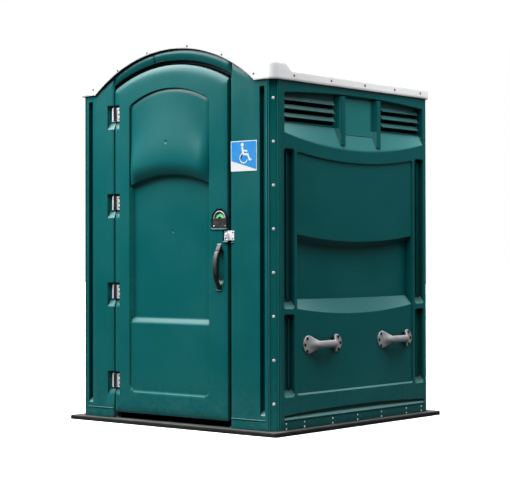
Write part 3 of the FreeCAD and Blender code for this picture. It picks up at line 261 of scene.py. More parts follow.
def dented(tree, height, distance, strength, under=None):
    """Adds a bump to the shader, over the bump that it has or else over a normal."""
    normal = tree.nodes["Principled BSDF"].inputs["Normal"]
    inputs = {"Height": height, "Distance": distance, "Strength": strength}
    under = normal.links[0].from_socket if normal.is_linked else under
    if under is not None:
        inputs["Normal"] = under
    wire(add(tree, "ShaderNodeBump", inputs).outputs["Normal"], normal)


def skinned(name, group, rough, **inputs):
    """A material on a skin group, which gives the shader its colour and roughness."""
    paint, tree, shader = new_paint(name)
    skin = add(tree, "ShaderNodeGroup", node_tree=group)
    wire(object_place(tree), skin.inputs["Place"])
    for key, value in inputs.items():
        value = (*value, 1) if isinstance(value, tuple) else value
        skin.inputs[key.replace("_", " ").title()].default_value = value
    wire(skin.outputs["Colour"], shader["Base Color"])
    rough = maths(tree, "ADD", skin.outputs["Roughening"], rough, use_clamp=True)
    wire(rough, shader["Roughness"])
    return paint, tree, shader, skin.outputs


def moulding(name, colour, pale, rough, gleam=0.35, **inputs):
    """A moulded plastic: its colour, its pale worn colour, its roughness and its skin's inputs."""
    paint, tree, shader, skin = skinned(name, skin_group, rough, colour=colour, pale=pale, **inputs)
    shader["Specular IOR Level"].default_value = gleam
    dented(tree, skin["Height"], distance=0.004, strength=0.5, under=skin["Edge Normal"])
    return paint


def paint_nodes(material, *names):
    """Gives CAD nodes a material in place of the plain one they were imported with."""
    for name in names:
        for place in cabin[name].material_slots:
            place.material = material


# Upward faces of the walls get painted top light, and their crevices get painted shade.
mould_green = moulding(
    "Mould Green", (0.0, 0.075, 0.078), (0.006, 0.105, 0.105), 0.30, gleam=0.24, crevice=0.84, sun_fade=1.0
)
wall_middle, wall_face = 0.012, 0.7795


def pocket_tint(aside, half, low, high, floor, share, tint):
    """Paints shade or light into the green deep in the walls' pockets: those this far from the middle,
    between two heights.
    """
    tree = mould_green.node_tree
    spot = xyz(tree, object_place(tree))
    away = maths(tree, "ABSOLUTE", maths(tree, "SUBTRACT", spot["Y"], wall_middle))
    across = maths(tree, "COMPARE", away, aside, half)
    level = maths(tree, "COMPARE", spot["Z"], (low + high) / 2, (high - low) / 2)
    sunk = ranged(tree, maths(tree, "ABSOLUTE", spot["X"]), wall_face, floor, 0.0, share)
    within = maths(tree, "MULTIPLY", across, level)
    tinted(tree, maths(tree, "MULTIPLY", within, sunk), tint)


# Painted shade darkens the side channels; painted light pales the vent bays' back walls and floors.
channel_shade, bay_light, vent_floor_light = (0.0, 0.004, 0.004), (0.03, 0.25, 0.245), (0.2, 0.6, 0.6)
pocket_rows = (
    # distance from the wall's middle, half width, foot, head, floor, share, tint
    (0.6555, 0.0485, 0.200, 1.650, 0.758, 0.6, channel_shade),
    # painted light on the vent bay's back wall, and below it on the vent floors
    (0.0, 0.165, 1.744, 1.990, 0.770, 0.42, bay_light),
    (0.0, 0.165, 1.625, 1.744, 0.776, 0.16, vent_floor_light),
    (0.430, 0.265, 1.625, 1.772, 0.776, 0.16, vent_floor_light),
)
for row in pocket_rows:
    pocket_tint(*row)
paint_nodes(mould_green, "side_panel_left", "side_panel_right", "rear_panel")

# Upward faces of the posts get painted top light.
post_green = moulding(
    "Post Green", (0.0, 0.098, 0.101), (0.006, 0.130, 0.130), 0.28, gleam=0.3, sun_fade=0.9,
    crevice_reach=0.010,
)
paint_nodes(post_green, *[name for name in cabin if name.startswith("post_") and name != "post_rivets"])

# The door's inner sheet
# A flat sheet, pressed from the same green stock and a shade lighter, bonded round the edge of the leaf.
sheet_green = moulding("Sheet Green", (0.006, 0.13, 0.125), (0.04, 0.22, 0.21), 0.5, mottle=0.2, dust=0.1)
paint_nodes(sheet_green, "door_inner")

# Door: outer moulding
# The leaf's face is one moulding. Its rim rolls over all round, the shallow upper panel swells towards the
# deep well under it, and two dimples mark where the mould was vented.
door_low, door_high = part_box("door_outer")
door_face, door_arch_rise, skin_thick, bend_depth = door_low[1], 0.116, 0.0062, 0.03
edge_reach = 0.011
rim_roll, panel_roll = (0.045, 0.007), (0.032, 0.0065)
crown_roll, edge_roll = (0.096, 0.0135, 4.0), (edge_reach, 0.030, 1.0)
panel_left, panel_right, panel_arch_foot, panel_arch_rise = -0.359, 0.290, 1.931, 0.087
panel_depth, panel_fade = 0.003, 0.07
well_arch_foot, well_arch_rise, well_shoulder, well_floor_depth, well_fade = 1.445, 0.059, 0.02, 0.035, 0.02
swell_peak, swell_turn, swell_drop, swell_reach, swell_narrow = 0.034, 0.080, 0.8, 0.225, 0.105
bend_pitch = 0.016


def arch_height(x, left, right, foot, rise):
    """Height of a circular arch over x."""
    half_span = (right - left) / 2
    radius = (half_span**2 + rise**2) / (2 * rise)
    return foot + rise - radius + sqrt(max(radius**2 - (x - (left + right) / 2) ** 2, 0))


def rolled(distance, reach, depth, sharpness=2.0):
    """How far a face has turned back at a distance from its rolled edge."""
    return -depth * (1 - min(max(distance / reach, 0), 1)) ** sharpness


def solid_copy(node):
    """A copy of a CAD node's mesh with its loose triangles merged and its flats cleaned."""
    made = bmesh.new()
    made.from_mesh(cabin[node].data)
    bmesh.ops.remove_doubles(made, verts=made.verts, dist=0.00001)
    bmesh.ops.dissolve_limit(made, angle_limit=radians(0.2), verts=made.verts, edges=made.edges)
    return made


def cut_across(made, axis, low, high, pitch):
    """Cuts a mesh along planes at a pitch, so that its flats can bend."""
    steps = round((high - low) / pitch)
    for step in range(steps + 1):
        place, way = Vector(), Vector()
        place[axis] = low + (high - low) * step / steps
        way[axis] = 1
        everything = made.verts[:] + made.edges[:] + made.faces[:]
        bmesh.ops.bisect_plane(made, geom=everything, dist=0.000001, plane_co=place, plane_no=way)


def fitted(name, mesh, body, slot, *replaced, sharp=35):
    """Makes a mesh a finished piece: smooth but for its sharp edges, and riding on a body."""
    mesh.shade_smooth()
    mesh.set_sharp_from_angle(angle=radians(sharp))
    thing = placed(name, mesh)
    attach(thing, body)
    if replaced:
        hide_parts(*replaced)


def piece(name, made, material, body, slot, *replaced, sharp=20):
    """Makes a bmesh a finished piece of one material."""
    mesh = bpy.data.meshes.new(name)
    made.to_mesh(mesh)
    made.free()
    mesh.materials.append(material)
    fitted(name, mesh, body, slot, *replaced, sharp=sharp)


def door_offset(x, z, depth):
    """How far the door's face stands out of its flat at a point, by how deep that point lies."""
    under_arch = arch_height(x, door_low[0], door_high[0], door_high[2] - door_arch_rise, door_arch_rise) - z
    to_rim = min(x - door_low[0], door_high[0] - x, z - door_low[2])
    crown, edge = rolled(under_arch, *crown_roll), rolled(door_high[0] - x, *edge_roll)
    offset = min(rolled(to_rim, *rim_roll), crown, edge) if depth < skin_thick else 0
    panel_top = arch_height(x, panel_left, panel_right, panel_arch_foot, panel_arch_rise)
    inside = min(x - panel_left, panel_right - x, panel_top - z)
    over_well = z - arch_height(x, panel_left, panel_right, well_arch_foot, well_arch_rise)
    if inside > 0 and over_well > -well_shoulder and depth > panel_depth:
        if over_well < swell_turn:
            lift = 1 - (1 - max(over_well, 0) / swell_turn) ** 2 * swell_drop
        else:
            middle = 1 - ((x - (panel_left + panel_right) / 2) / ((panel_right - panel_left) / 2)) ** 2
            reach = swell_narrow + (swell_reach - swell_narrow) * middle
            lift = exp(-(((over_well - swell_turn) / reach) ** 2))
        fade = min(inside / panel_fade, 1)
        level = min(max((well_floor_depth - depth) / well_fade, 0), 1)
        offset += swell_peak * lift * (1 - (1 - fade) ** 2) * level
        offset += rolled(inside, *panel_roll) * level
    return offset


def bent(made, offset):
    """Moves a front's points outwards, towards -Y, by an offset worked out for each."""
    for vert in made.verts:
        depth = vert.co.y - door_face
        if depth < bend_depth:
            vert.co.y -= offset(vert.co.x, vert.co.z, depth)


leaf = solid_copy("door_outer")
cut_across(leaf, 0, door_low[0], door_high[0], bend_pitch)
cut_across(leaf, 2, door_low[2], door_high[2], bend_pitch)
cut_across(leaf, 0, door_high[0] - edge_reach, door_high[0] - 0.001, bend_pitch / 5)
cut_across(leaf, 2, well_arch_foot - well_shoulder, well_arch_foot + well_arch_rise + 0.06, bend_pitch / 3)
cut_across(leaf, 2, door_high[2] - door_arch_rise, door_high[2] - 0.002, bend_pitch / 3)
cut_across(leaf, 2, panel_arch_foot, panel_arch_foot + panel_arch_rise, bend_pitch / 3)
bent(leaf, door_offset)


def dimpled(tree, spots, radius, deep):
    """Presses ringed dimples into a material at places on the front, each an x and a z."""
    spot = xyz(tree, object_place(tree))
    flat = add(tree, "ShaderNodeCombineXYZ", {"X": spot["X"], "Z": spot["Z"]}).outputs[0]
    for x, z in spots:
        ends = {0: flat, 1: (x, 0, z)}
        away = add(tree, "ShaderNodeVectorMath", ends, operation="DISTANCE").outputs["Value"]
        ring = maths(tree, "COMPARE", away, radius, radius * 0.35)
        dish = ranged(tree, away, radius * 0.2, radius, interpolation_type="SMOOTHSTEP")
        dented(tree, maths(tree, "MULTIPLY_ADD", ring, 0.3, dish), distance=deep, strength=1.0)


# Upward faces of the door get painted top light, and its recesses get painted shade.
door_green = moulding(
    "Door Green", (0.0, 0.078, 0.081), (0.006, 0.105, 0.105), 0.30, gleam=0.24, sun_fade=1.0,
    crevice_reach=0.055,
)
dimpled(door_green.node_tree, [(-0.036, 1.695), (-0.020, 1.164)], 0.015, 0.0022)
piece("door_skin", leaf, door_green, "door", "wall_green", "door_outer")

# Front stiles and header
# The two front mouldings carry the doorway. Their edges towards the door roll over as the leaf's do, and so
# do their outer edges and the top of the header.
doorway_left, doorway_right, doorway_arch_foot, doorway_arch_rise = -0.493, 0.458, 2.066, 0.115
stile_reach, stile_depth, header_reach, header_depth = 0.020, 0.005, 0.062, 0.015
outer_roll, top_roll = (0.014, 0.004), (0.048, 0.012)
rim_half, rim_arch_foot, rim_arch_rise, rim_fade = 0.640, 2.018, 0.229, 0.12
post_edge, head_start, head_fade = 0.735, 2.03, 0.04


def stile_offset(x, z, depth):
    """How far a stile's face turns back beside the doorway, over it and at the corner post."""
    if depth > skin_thick:
        return 0
    outer = rolled(post_edge - abs(x), *outer_roll)
    aside = max(doorway_left - x, x - doorway_right)
    crown = arch_height(x, doorway_left, doorway_right, doorway_arch_foot, doorway_arch_rise)
    over = rolled(z - crown, header_reach, header_depth)
    fade = min(max(z - head_start, 0) / head_fade, 1)
    beside = rolled(max(aside, 0), stile_reach, stile_depth + (header_depth - stile_depth) * fade)
    rim = arch_height(x, -rim_half, rim_half, rim_arch_foot, rim_arch_rise)
    top = rolled(rim - z, *top_roll) * min(max(rim_half - abs(x), 0) / rim_fade, 1)
    return min(outer, top, over if aside <= 0 else beside)


for name, cut_from, cut_to in (("left", -0.52, doorway_left), ("right", doorway_right, 0.485)):
    node = "front_panel_" + name
    stile = solid_copy(node)
    span_low, span_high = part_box(node)
    cut_across(stile, 0, cut_from, cut_to, 0.006)
    cut_across(stile, 0, max(span_low[0], -rim_half), min(span_high[0], rim_half), 0.02)
    for low, high in ((-0.734, -0.718), (0.718, 0.734)):
        cut_across(stile, 0, low, high, 0.004)
    cut_across(stile, 2, 2.02, 2.25, 0.008)
    bent(stile, stile_offset)
    piece("stile_" + name, stile, mould_green, "cabin", "wall_green", node)

# Header joint
# The two front mouldings meet over the door. A black strip fills the gap between them as painted shade in the
# seam.
joint_x, joint_half, joint_proud = -0.155, 0.0048, 0.0022
joint_low, joint_high, joint_steps = 2.178, 2.262, 12
joint_outline = ((-1, 0.4), (-1, -0.6), (-0.55, -1), (0.55, -1), (1, -0.6), (1, 0.4))


def tube(name, rings, material, body, slot, *replaced, sharp=20, looped=False):
    """A piece joined from rings of points. Its two ends are shut, or its last ring joins the first."""
    made = bmesh.new()
    rows = [[made.verts.new(point) for point in ring] for ring in rings]
    for first, second in zip(rows, rows[1:] + rows[:1] if looped else rows[1:]):
        for i in range(len(first)):
            after = (i + 1) % len(first)
            made.faces.new([first[i], first[after], second[after], second[i]])
    if not looped:
        made.faces.new(rows[0][::-1])
        made.faces.new(rows[-1])
    bmesh.ops.recalc_face_normals(made, faces=made.faces)
    piece(name, made, material, body, slot, *replaced, sharp=sharp)


# Near black, standing for the shade in seams and slots.
shade_black = moulding(
    "Seam Shade Black", (0.006, 0.007, 0.008), (0.03, 0.03, 0.03), 0.7, gleam=0.2, mottle=0.4,
    mottle_scale=30, dust=0.0,
)
rings = []
for step in range(joint_steps + 1):
    z = joint_low + (joint_high - joint_low) * step / joint_steps
    face = door_face - stile_offset(joint_x, z, 0)
    rings.append([(joint_x + a * joint_half, face + b * joint_proud, z) for a, b in joint_outline])
tube("header_joint", rings, shade_black, "cabin", "fitting_black")

# Roof
# One vacuum-formed shell of milky white polyethylene, satin, with softly rounded edges.
roof_white = moulding(
    "Roof White", (0.70, 0.71, 0.715), (0.76, 0.77, 0.775), 0.38, gleam=0.5, mottle=0.5, mottle_scale=4,
    grain_scale=500, dust=0.0, edge_polish=0.2, edge_radius=0.022,
)
paint_nodes(roof_white, "roof")

# Base
# A black slab of recycled plastic with scuffed edges, under a lighter deck sheet that shows as a thin line.
slab_black = moulding(
    "Slab Black", (0.005, 0.005, 0.006), (0.02, 0.02, 0.02), 0.7, gleam=0.2, mottle=0.5, mottle_scale=14,
    grain_scale=260, dust=0.1, dust_height=0.03, edge_polish=0.3,
)
deck_pale = moulding(
    "Deck Pale", (0.034, 0.036, 0.037), (0.060, 0.062, 0.062), 0.5, gleam=0.5, mottle=0.6, mottle_scale=9,
    grain_scale=300, dust=0.3, dust_height=0.04,
)
paint_nodes(slab_black, "base_slab")
paint_nodes(deck_pale, "base_deck")

# Door stop
# A moulded frame behind the doorway. Its lip is ribbed across, so that rain doesn't creep past the leaf.
# Its green is painted far darker than the walls', as the shade in the gap round the leaf.
stop_green = moulding("Stop Green", (0.002, 0.022, 0.022), (0.01, 0.05, 0.05), 0.55, mottle=0.2, dust=0.0)
ribbing = stop_green.node_tree
rib_inputs = {"Vector": object_place(ribbing), "Scale": 34.0, "Distortion": 0.0}
ribs = add(ribbing, "ShaderNodeTexWave", rib_inputs, bands_direction="DIAGONAL")
dented(ribbing, ribs.outputs["Fac"], distance=0.004, strength=0.8)
paint_nodes(stop_green, "door_stop")

# Rivets, screws and bolts
# Plated steel heads, each seated on the place where its CAD head sits and turned by chance as it was driven.
# A head is a low dome over a washer, with a cross cut for the driver.


def metal_skin():
    """Spangle, dulled patches and fine scratches of plated steel."""
    tree, given, end = group_tree(
        "Plated Skin", "ShaderNodeTree",
        {
            "Place": "Vector", "Colour": "Color", "Dull": "Color", "Spangle Scale": 140.0, "Dulling": 0.5,
            "Scratch Scale": 900.0,
        },
        {"Colour": "Color", "Roughening": "Float", "Height": "Float"},
    )
    place = given["Place"]
    cells = add(tree, "ShaderNodeTexVoronoi", {"Vector": place, "Scale": given["Spangle Scale"]})
    spangle = add(tree, "ShaderNodeSeparateColor", {"Color": cells.outputs["Color"]}).outputs["Red"]
    grey = ranged(tree, noise(tree, place, 22.0, 5.0), 0.4, 0.7)
    both = maths(tree, "MULTIPLY_ADD", spangle, 0.35, grey)
    share = maths(tree, "MULTIPLY", both, given["Dulling"], use_clamp=True)
    wire(mixed(tree, share, given["Colour"], given["Dull"]), end["Colour"])
    wire(maths(tree, "MULTIPLY", share, 0.25), end["Roughening"])
    wire(noise(tree, place, given["Scratch Scale"], 2.0), end["Height"])
    return tree


plated_group = metal_skin()


def plated(name, colour, dull, rough, metallic=0.9, **inputs):
    """A plated or painted metal: its colour, its dulled colour, its roughness and its skin's inputs."""
    paint, tree, shader, skin = skinned(name, plated_group, rough, colour=colour, dull=dull, **inputs)
    shader["Metallic"].default_value = metallic
    rounded = add(tree, "ShaderNodeBevel", {"Radius": 0.0012}, samples=4).outputs["Normal"]
    dented(tree, skin["Height"], distance=0.0003, strength=0.4, under=rounded)
    return paint


pale_zinc = ((0.86, 0.88, 0.90), (0.62, 0.64, 0.66), 0.34, 0.35)
bright_zinc = plated("Bright Zinc", (0.78, 0.80, 0.82), (0.40, 0.42, 0.44), 0.28)
dark_steel = plated("Dark Steel", (0.03, 0.03, 0.033), (0.012, 0.012, 0.013), 0.45)
weathered_steel = plated("Weathered Steel", (0.16, 0.14, 0.13), (0.09, 0.05, 0.03), 0.5, metallic=0.6)
white_zinc = plated("White Zinc", *pale_zinc)


def vector(tree, x, y, z):
    """A vector of three values or sockets."""
    return add(tree, "ShaderNodeCombineXYZ", {"X": x, "Y": y, "Z": z}).outputs[0]


def growing(name, **numbers):
    """An empty Geometry Nodes tree, with its named numbers and a paint for what it grows."""
    sockets = {key.replace("_", " ").title(): value for key, value in numbers.items()}
    sockets = {"Geometry": "Geometry", **sockets, "Paint": "Material"}
    return group_tree(name, "GeometryNodeTree", sockets, {"Geometry": "Geometry"})


def painted_end(tree, geometry, given, end):
    """Ends a Geometry Nodes tree: what it grew is made real and painted."""
    real = add(tree, "GeometryNodeRealizeInstances", {"Geometry": geometry})
    painted = add(tree, "GeometryNodeSetMaterial", {"Geometry": real.outputs[0], "Material": given["Paint"]})
    wire(painted.outputs[0], end["Geometry"])
    return tree


def seated_heads():
    """Geometry: a head on each point, standing along the point's way, with washer and driver's cross."""
    tree, given, end = growing(
        "Seated Heads", head_radius=0.005, head_rise=0.003, washer_radius=0.007, washer_thickness=0.001,
        cross_width=0.001,
    )
    radius, rise, width = given["Head Radius"], given["Head Rise"], given["Cross Width"]
    cross_over, half_turn, chance = 1.1, 3.14, 7
    ball = add(tree, "GeometryNodeMeshUVSphere", {"Segments": 16, "Rings": 10, "Radius": 1.0}).outputs["Mesh"]
    dome = add(tree, "GeometryNodeTransform", {"Geometry": ball, "Scale": vector(tree, radius, radius, rise)})
    cut = add(tree, "GeometryNodeMeshBoolean", {"Mesh 1": dome.outputs[0]}, operation="DIFFERENCE")
    across = maths(tree, "MULTIPLY", radius, cross_over)
    for first, second in ((across, width), (width, across)):
        bar = add(tree, "GeometryNodeMeshCube", {"Size": vector(tree, first, second, rise)}).outputs["Mesh"]
        raised = {"Geometry": bar, "Translation": vector(tree, 0.0, 0.0, rise)}
        wire(add(tree, "GeometryNodeTransform", raised).outputs[0], cut.inputs["Mesh 2"])
    washer = add(
        tree, "GeometryNodeMeshCylinder",
        {"Vertices": 20, "Radius": given["Washer Radius"], "Depth": given["Washer Thickness"]},
    )
    head = add(tree, "GeometryNodeJoinGeometry")
    for part in (cut, washer):
        wire(part.outputs["Mesh"], head.inputs["Geometry"])
    way = add(tree, "GeometryNodeInputNamedAttribute", {"Name": "way"}, data_type="FLOAT_VECTOR")
    spin = add(tree, "FunctionNodeRandomValue", {"Max": half_turn, "Seed": chance}, data_type="FLOAT")
    turn = next(socket for socket in spin.outputs if socket.enabled)
    lean = add(tree, "FunctionNodeAlignRotationToVector", {"Vector": way.outputs["Attribute"]}, axis="Z")
    turned = add(
        tree, "FunctionNodeRotateRotation",
        {"Rotation": lean.outputs["Rotation"], "Rotate By": vector(tree, 0.0, 0.0, turn)},
        rotation_space="LOCAL",
    )
    spread = add(
        tree, "GeometryNodeInstanceOnPoints",
        {"Points": given["Geometry"], "Instance": head.outputs[0], "Rotation": turned.outputs[0]},
    )
    return painted_end(tree, spread.outputs[0], given, end)


heads_tree = seated_heads()


def cap_rank(face):
    """The area of a face, raised a little where the face looks out of the cabin."""
    outward = face.normal.dot(face.calc_center_median()) > 0
    return face.calc_area() + (0.0001 if outward else 0)


def seats(node):
    """Where each head of a group of CAD heads sits, and the way in which it stands out."""
    made = solid_copy(node)
    found, seen = [], set()
    for start in made.verts:
        if start in seen:
            continue
        island, edge = [], [start]
        seen.add(start)
        while edge:
            vert = edge.pop()
            island.append(vert)
            near = [e.other_vert(vert) for e in vert.link_edges]
            edge += [n for n in near if n not in seen]
            seen.update(near)
        middle = sum((vert.co for vert in island), Vector()) / len(island)
        cap = max([face for vert in island for face in vert.link_faces], key=cap_rank)
        way = cap.normal.copy()
        if way.dot(Vector((middle.x, middle.y, 0))) < 0:
            way.negate()
        rise = abs((cap.calc_center_median() - middle).dot(way))
        found.append((middle - way * rise, way))
    made.free()
    return found


def grown(name, points, tree, settings, edges=()):
    """The plain mesh that a Geometry Nodes tree grows on points, each with its way, or along edges."""
    mesh = bpy.data.meshes.new(name + "_points")
    mesh.from_pydata([place for place, way in points], edges, [])
    ways = mesh.attributes.new("way", "FLOAT_VECTOR", "POINT")
    for i, (place, way) in enumerate(points):
        ways.data[i].vector = way
    source = placed(name + "_points", mesh)
    maker = source.modifiers.new("Grow", "NODES")
    maker.node_group = tree
    for item in tree.interface.items_tree:
        if item.item_type == "SOCKET" and item.in_out == "INPUT" and item.name in settings:
            maker[item.identifier] = settings[item.name]
    bpy.context.view_layer.update()
    result = bpy.data.meshes.new_from_object(source.evaluated_get(bpy.context.evaluated_depsgraph_get()))
    source.modifiers.remove(maker)
    bpy.data.objects.remove(source)
    result.name = name
    return result


head_rows = (
    # node, body, head radius, rise, washer radius, washer thickness, finish
    ("post_rivets", "cabin", 0.0062, 0.0030, 0.0088, 0.0012, white_zinc),
    ("foot_screws", "cabin", 0.0046, 0.0022, 0.0056, 0.0008, white_zinc),
    ("roof_screws", "cabin", 0.0055, 0.0024, 0.0072, 0.0012, weathered_steel),
    ("side_handle_bolts", "cabin", 0.0062, 0.0026, 0.0100, 0.0010, dark_steel),
    ("jamb_screws", "cabin", 0.0040, 0.0014, 0.0046, 0.0004, dark_steel),
    ("door_screws", "door", 0.0040, 0.0014, 0.0046, 0.0004, dark_steel),
    ("lock_screws", "door", 0.0040, 0.0015, 0.0042, 0.0004, bright_zinc),
)
for node, body, radius, rise, washer, thick, finish in head_rows:
    sizes = {
        "Head Radius": radius, "Head Rise": rise, "Washer Radius": washer, "Washer Thickness": thick * 2,
        "Cross Width": radius * 0.28, "Paint": finish,
    }
    fitted(node + "_heads", grown(node, seats(node), heads_tree, sizes), body, "steel", node)

# Hinges, hasp and small steel fittings
# Folded and rolled zinc-plated sheet, with a dark line painted down the hinges' barrels as their shade. The
# pins and the lock's parts are turned steel.
hinge_axis_x, barrel_half, barrel_shade = -0.4868, 0.0019, (0.035, 0.035, 0.04)
hinge_zinc = plated("Hinge Zinc", *pale_zinc)
leafing = hinge_zinc.node_tree
from_middle = xyz(leafing, object_place(leafing))["X"]
# Painted shade: a dark stripe down each hinge's barrel.
tinted(leafing, maths(leafing, "COMPARE", from_middle, hinge_axis_x, barrel_half), barrel_shade)
paint_nodes(hinge_zinc, *[name for name in cabin if name.startswith("hinge_") and name != "hinge_pins"])
paint_nodes(white_zinc, "hasp_door_eye", "hasp_jamb_eye")
paint_nodes(bright_zinc, "hinge_pins", "sill_clips", "lock_cam", "lock_spindle", "seat_hinge_rod")

# Lock
# A black moulded plate with a half-moon window. The disc behind it is half green and half red, its print a
# little worn, and turns with the lever inside.
lock_x, lock_z = 0.372, 1.226
fitting_black = moulding(
    "Fitting Black", (0.014, 0.014, 0.016), (0.07, 0.07, 0.08), 0.38, gleam=0.5, mottle_scale=30,
    grain_scale=1200, dust=0.0, edge_polish=0.5, edge_radius=0.002,
)
paint_nodes(fitting_black, "lock_face_plate", "lock_collar", "lock_lever")

engaged_red, vacant_green, worn_pale = (0.45, 0.02, 0.015, 1), (0.12, 0.62, 0.20, 1), (0.45, 0.75, 0.45)
indicator, dial, dial_shader = new_paint("Indicator Disc")
dial_place = object_place(dial)
upper = maths(dial, "GREATER_THAN", xyz(dial, dial_place)["Z"], lock_z)
wire(mixed(dial, upper, engaged_red, vacant_green), dial_shader["Base Color"])
worn = noise(dial, dial_place, 160.0, 4.0)
tinted(dial, ranged(dial, worn, 0.45, 0.75, 0.0, 0.35), worn_pale)
wire(ranged(dial, worn, 0, 1, 0.25, 0.5), dial_shader["Roughness"])
dented(dial, worn, distance=0.0003, strength=0.3)
paint_nodes(indicator, "indicator_disc")

# Moulded beads and seams
# Small rounded ribs of the moulding itself, under each louvre, in the grooves and under the door's pockets.
# A black cord lies in the joint at each side of a corner post, as painted shade in the seam.


def bead_tree():
    """Geometry: a round bead laid along each line of edges."""
    tree, given, end = growing("Laid Beads", bead_radius=0.003)
    path = add(tree, "GeometryNodeMeshToCurve", {"Mesh": given["Geometry"]}).outputs["Curve"]
    ring = add(tree, "GeometryNodeCurvePrimitiveCircle", {"Resolution": 10, "Radius": given["Bead Radius"]})
    laid = {"Curve": path, "Profile Curve": ring.outputs["Curve"], "Fill Caps": True}
    return painted_end(tree, add(tree, "GeometryNodeCurveToMesh", laid).outputs["Mesh"], given, end)


beads_tree = bead_tree()


def beaded(name, lines, radius, material=mould_green, body="cabin", slot="wall_green"):
    """A piece of beads, one along each line of points."""
    points, edges = [], []
    for line in lines:
        edges += [(len(points) + i, len(points) + i + 1) for i in range(len(line) - 1)]
        points += [(Vector(place), Vector()) for place in line]
    mesh = grown(name, points, beads_tree, {"Bead Radius": radius, "Paint": material}, edges)
    fitted(name, mesh, body, slot, sharp=60)


def upright(x, y, low, high):
    """A line straight up, from one height to another."""
    return [(x, y, low), (x, y, high)]


louvre_first, louvre_pitch, louvre_face, louvre_hood, louvre_drop = 1.807, 0.0485, 0.7600, 0.011, 0.023
louvre_spans = ((-0.671, -0.183), (0.293, 0.695))
lips = []
for side in (-1, 1):
    for i in range(3):
        x, z = side * louvre_face, louvre_first + i * louvre_pitch + 0.001
        for start, end in louvre_spans:
            corner = (x - side * louvre_hood, start - 0.006, z + louvre_drop)
            lips.append([corner, (x, start + 0.002, z), (x, end, z)])
beaded("louvre_lips", lips, 0.0033)

groove_x = 0.7575
groove_spans = (
    (-0.6435, 0.775, 1.600), (0.6675, 0.775, 1.600), (-0.6300, 0.262, 0.655), (0.6540, 0.262, 0.655),
)
ribs = [upright(side * groove_x, y, low, high) for side in (-1, 1) for y, low, high in groove_spans]
beaded("groove_ribs", ribs, 0.0065)

foot_line, foot_front, foot_rear, sill_y = 0.083, -0.690, 0.714, -0.7803
feet = [[(x, foot_front, foot_line), (x, foot_rear, foot_line)] for x in (-wall_face, wall_face)]
beaded("foot_ribs", feet, 0.0045)
sill_spans = ((-0.716, -0.497), (0.462, 0.716))
sills = [[(start, sill_y, foot_line), (end, sill_y, foot_line)] for start, end in sill_spans]
beaded("front_ribs", sills, 0.0030)

post_inner, post_outer, post_foot, post_head, front_inset = 0.735, 0.7775, 0.028, 2.050, 0.0010
lip_aside, lip_out = 0.0064, 0.7780
shade_cords, lips = [], []
for side, end in ((-1, -1), (-1, 1), (1, -1), (1, 1)):
    outer = post_outer - (front_inset if end < 0 else 0)
    for x, y in ((post_inner, outer), (post_outer, post_inner)):
        shade_cords.append(upright(side * x, end * y, post_foot, post_head))
    for lip_in in (post_inner - lip_aside, post_inner + lip_aside):
        for x, y in ((lip_in, lip_out), (lip_out, lip_in)):
            lips.append(upright(side * x, end * y, post_foot, post_head))
# Painted highlight: the lips beside each seam are a lighter green than the walls, as light on rolled edges.
lip_highlight_green = moulding(
    "Lip Highlight Green", (0.002, 0.12, 0.122), (0.01, 0.15, 0.15), 0.28, dust=0.0, crevice=0.0, edge_radius=0.001
)
# Black cords as painted shade in the seams beside each post.
beaded("post_shade_cords", shade_cords, 0.0030, shade_black, slot="fitting_black")
beaded("post_lips", lips, 0.0036, lip_highlight_green)

# Black cords in the header's two slots, as painted shade in them.
slots = [
    [(-0.055, -0.7712, 2.2405), (0.003, -0.7712, 2.2365)],
    [(-0.122, -0.7720, 2.1785), (-0.070, -0.7720, 2.1815)],
]
beaded("header_slots", slots, 0.0036, shade_black, slot="fitting_black")

lock_lip = [(0.302, 1.188), (0.305, 1.178), (0.312, 1.172), (0.322, 1.169), (0.422, 1.169), (0.430, 1.173)]
hasp_lip = [(0.399, 1.099), (0.404, 1.094), (0.434, 1.094)]
handle_lip = [(0.347, 0.819), (0.352, 0.814), (0.378, 0.813), (0.386, 0.818)]
door_lips = [[(x, -0.7792, z) for x, z in line] for line in (lock_lip, hasp_lip, handle_lip)]
beaded("pocket_lips", door_lips, 0.0056, door_green, "door")
beaded("jamb_lip", [[(0.461, -0.7790, 1.091), (0.484, -0.7790, 1.091)]], 0.0046)

# Lock's bezel
# A pale snap-in ring round the upper half of the window. It holds the clear cover over the disc.
bezel_radius, bezel_sill, bezel_y = 0.0415, lock_z + 0.006, -0.7800


def arc(x, z, radius, start, end, steps):
    """Points on an arc about a middle, from one angle in degrees to another."""
    angles = [radians(start + (end - start) * i / steps) for i in range(steps + 1)]
    return [(x + radius * cos(angle), z + radius * sin(angle)) for angle in angles]


pale_grey = moulding(
    "Bezel Grey", (0.42, 0.44, 0.47), (0.66, 0.68, 0.70), 0.35, gleam=0.5, mottle=0.4, mottle_scale=40,
    grain_scale=1500, dust=0.0, edge_radius=0.001, crevice=0.0,
)
ring = [(x, bezel_y, z) for x, z in arc(lock_x, bezel_sill, bezel_radius, 0, 180, 24)]
beaded("lock_bezel", [ring], 0.0024, pale_grey, "door", "fitting_grey")

# Sign
# A white plastic plate with printed blue field and a raised figure in a wheelchair, glued to the right stile.
sign_x, sign_z, sign_half_wide, sign_half_tall, field_margin = 0.559, 1.586, 0.097, 0.087, 0.004
sign_back, sign_thick, print_thick, print_sunk = -0.7797, 0.0018, 0.0003, 0.0002
field_face = sign_back - sign_thick - print_thick
figure_face = field_face - print_thick


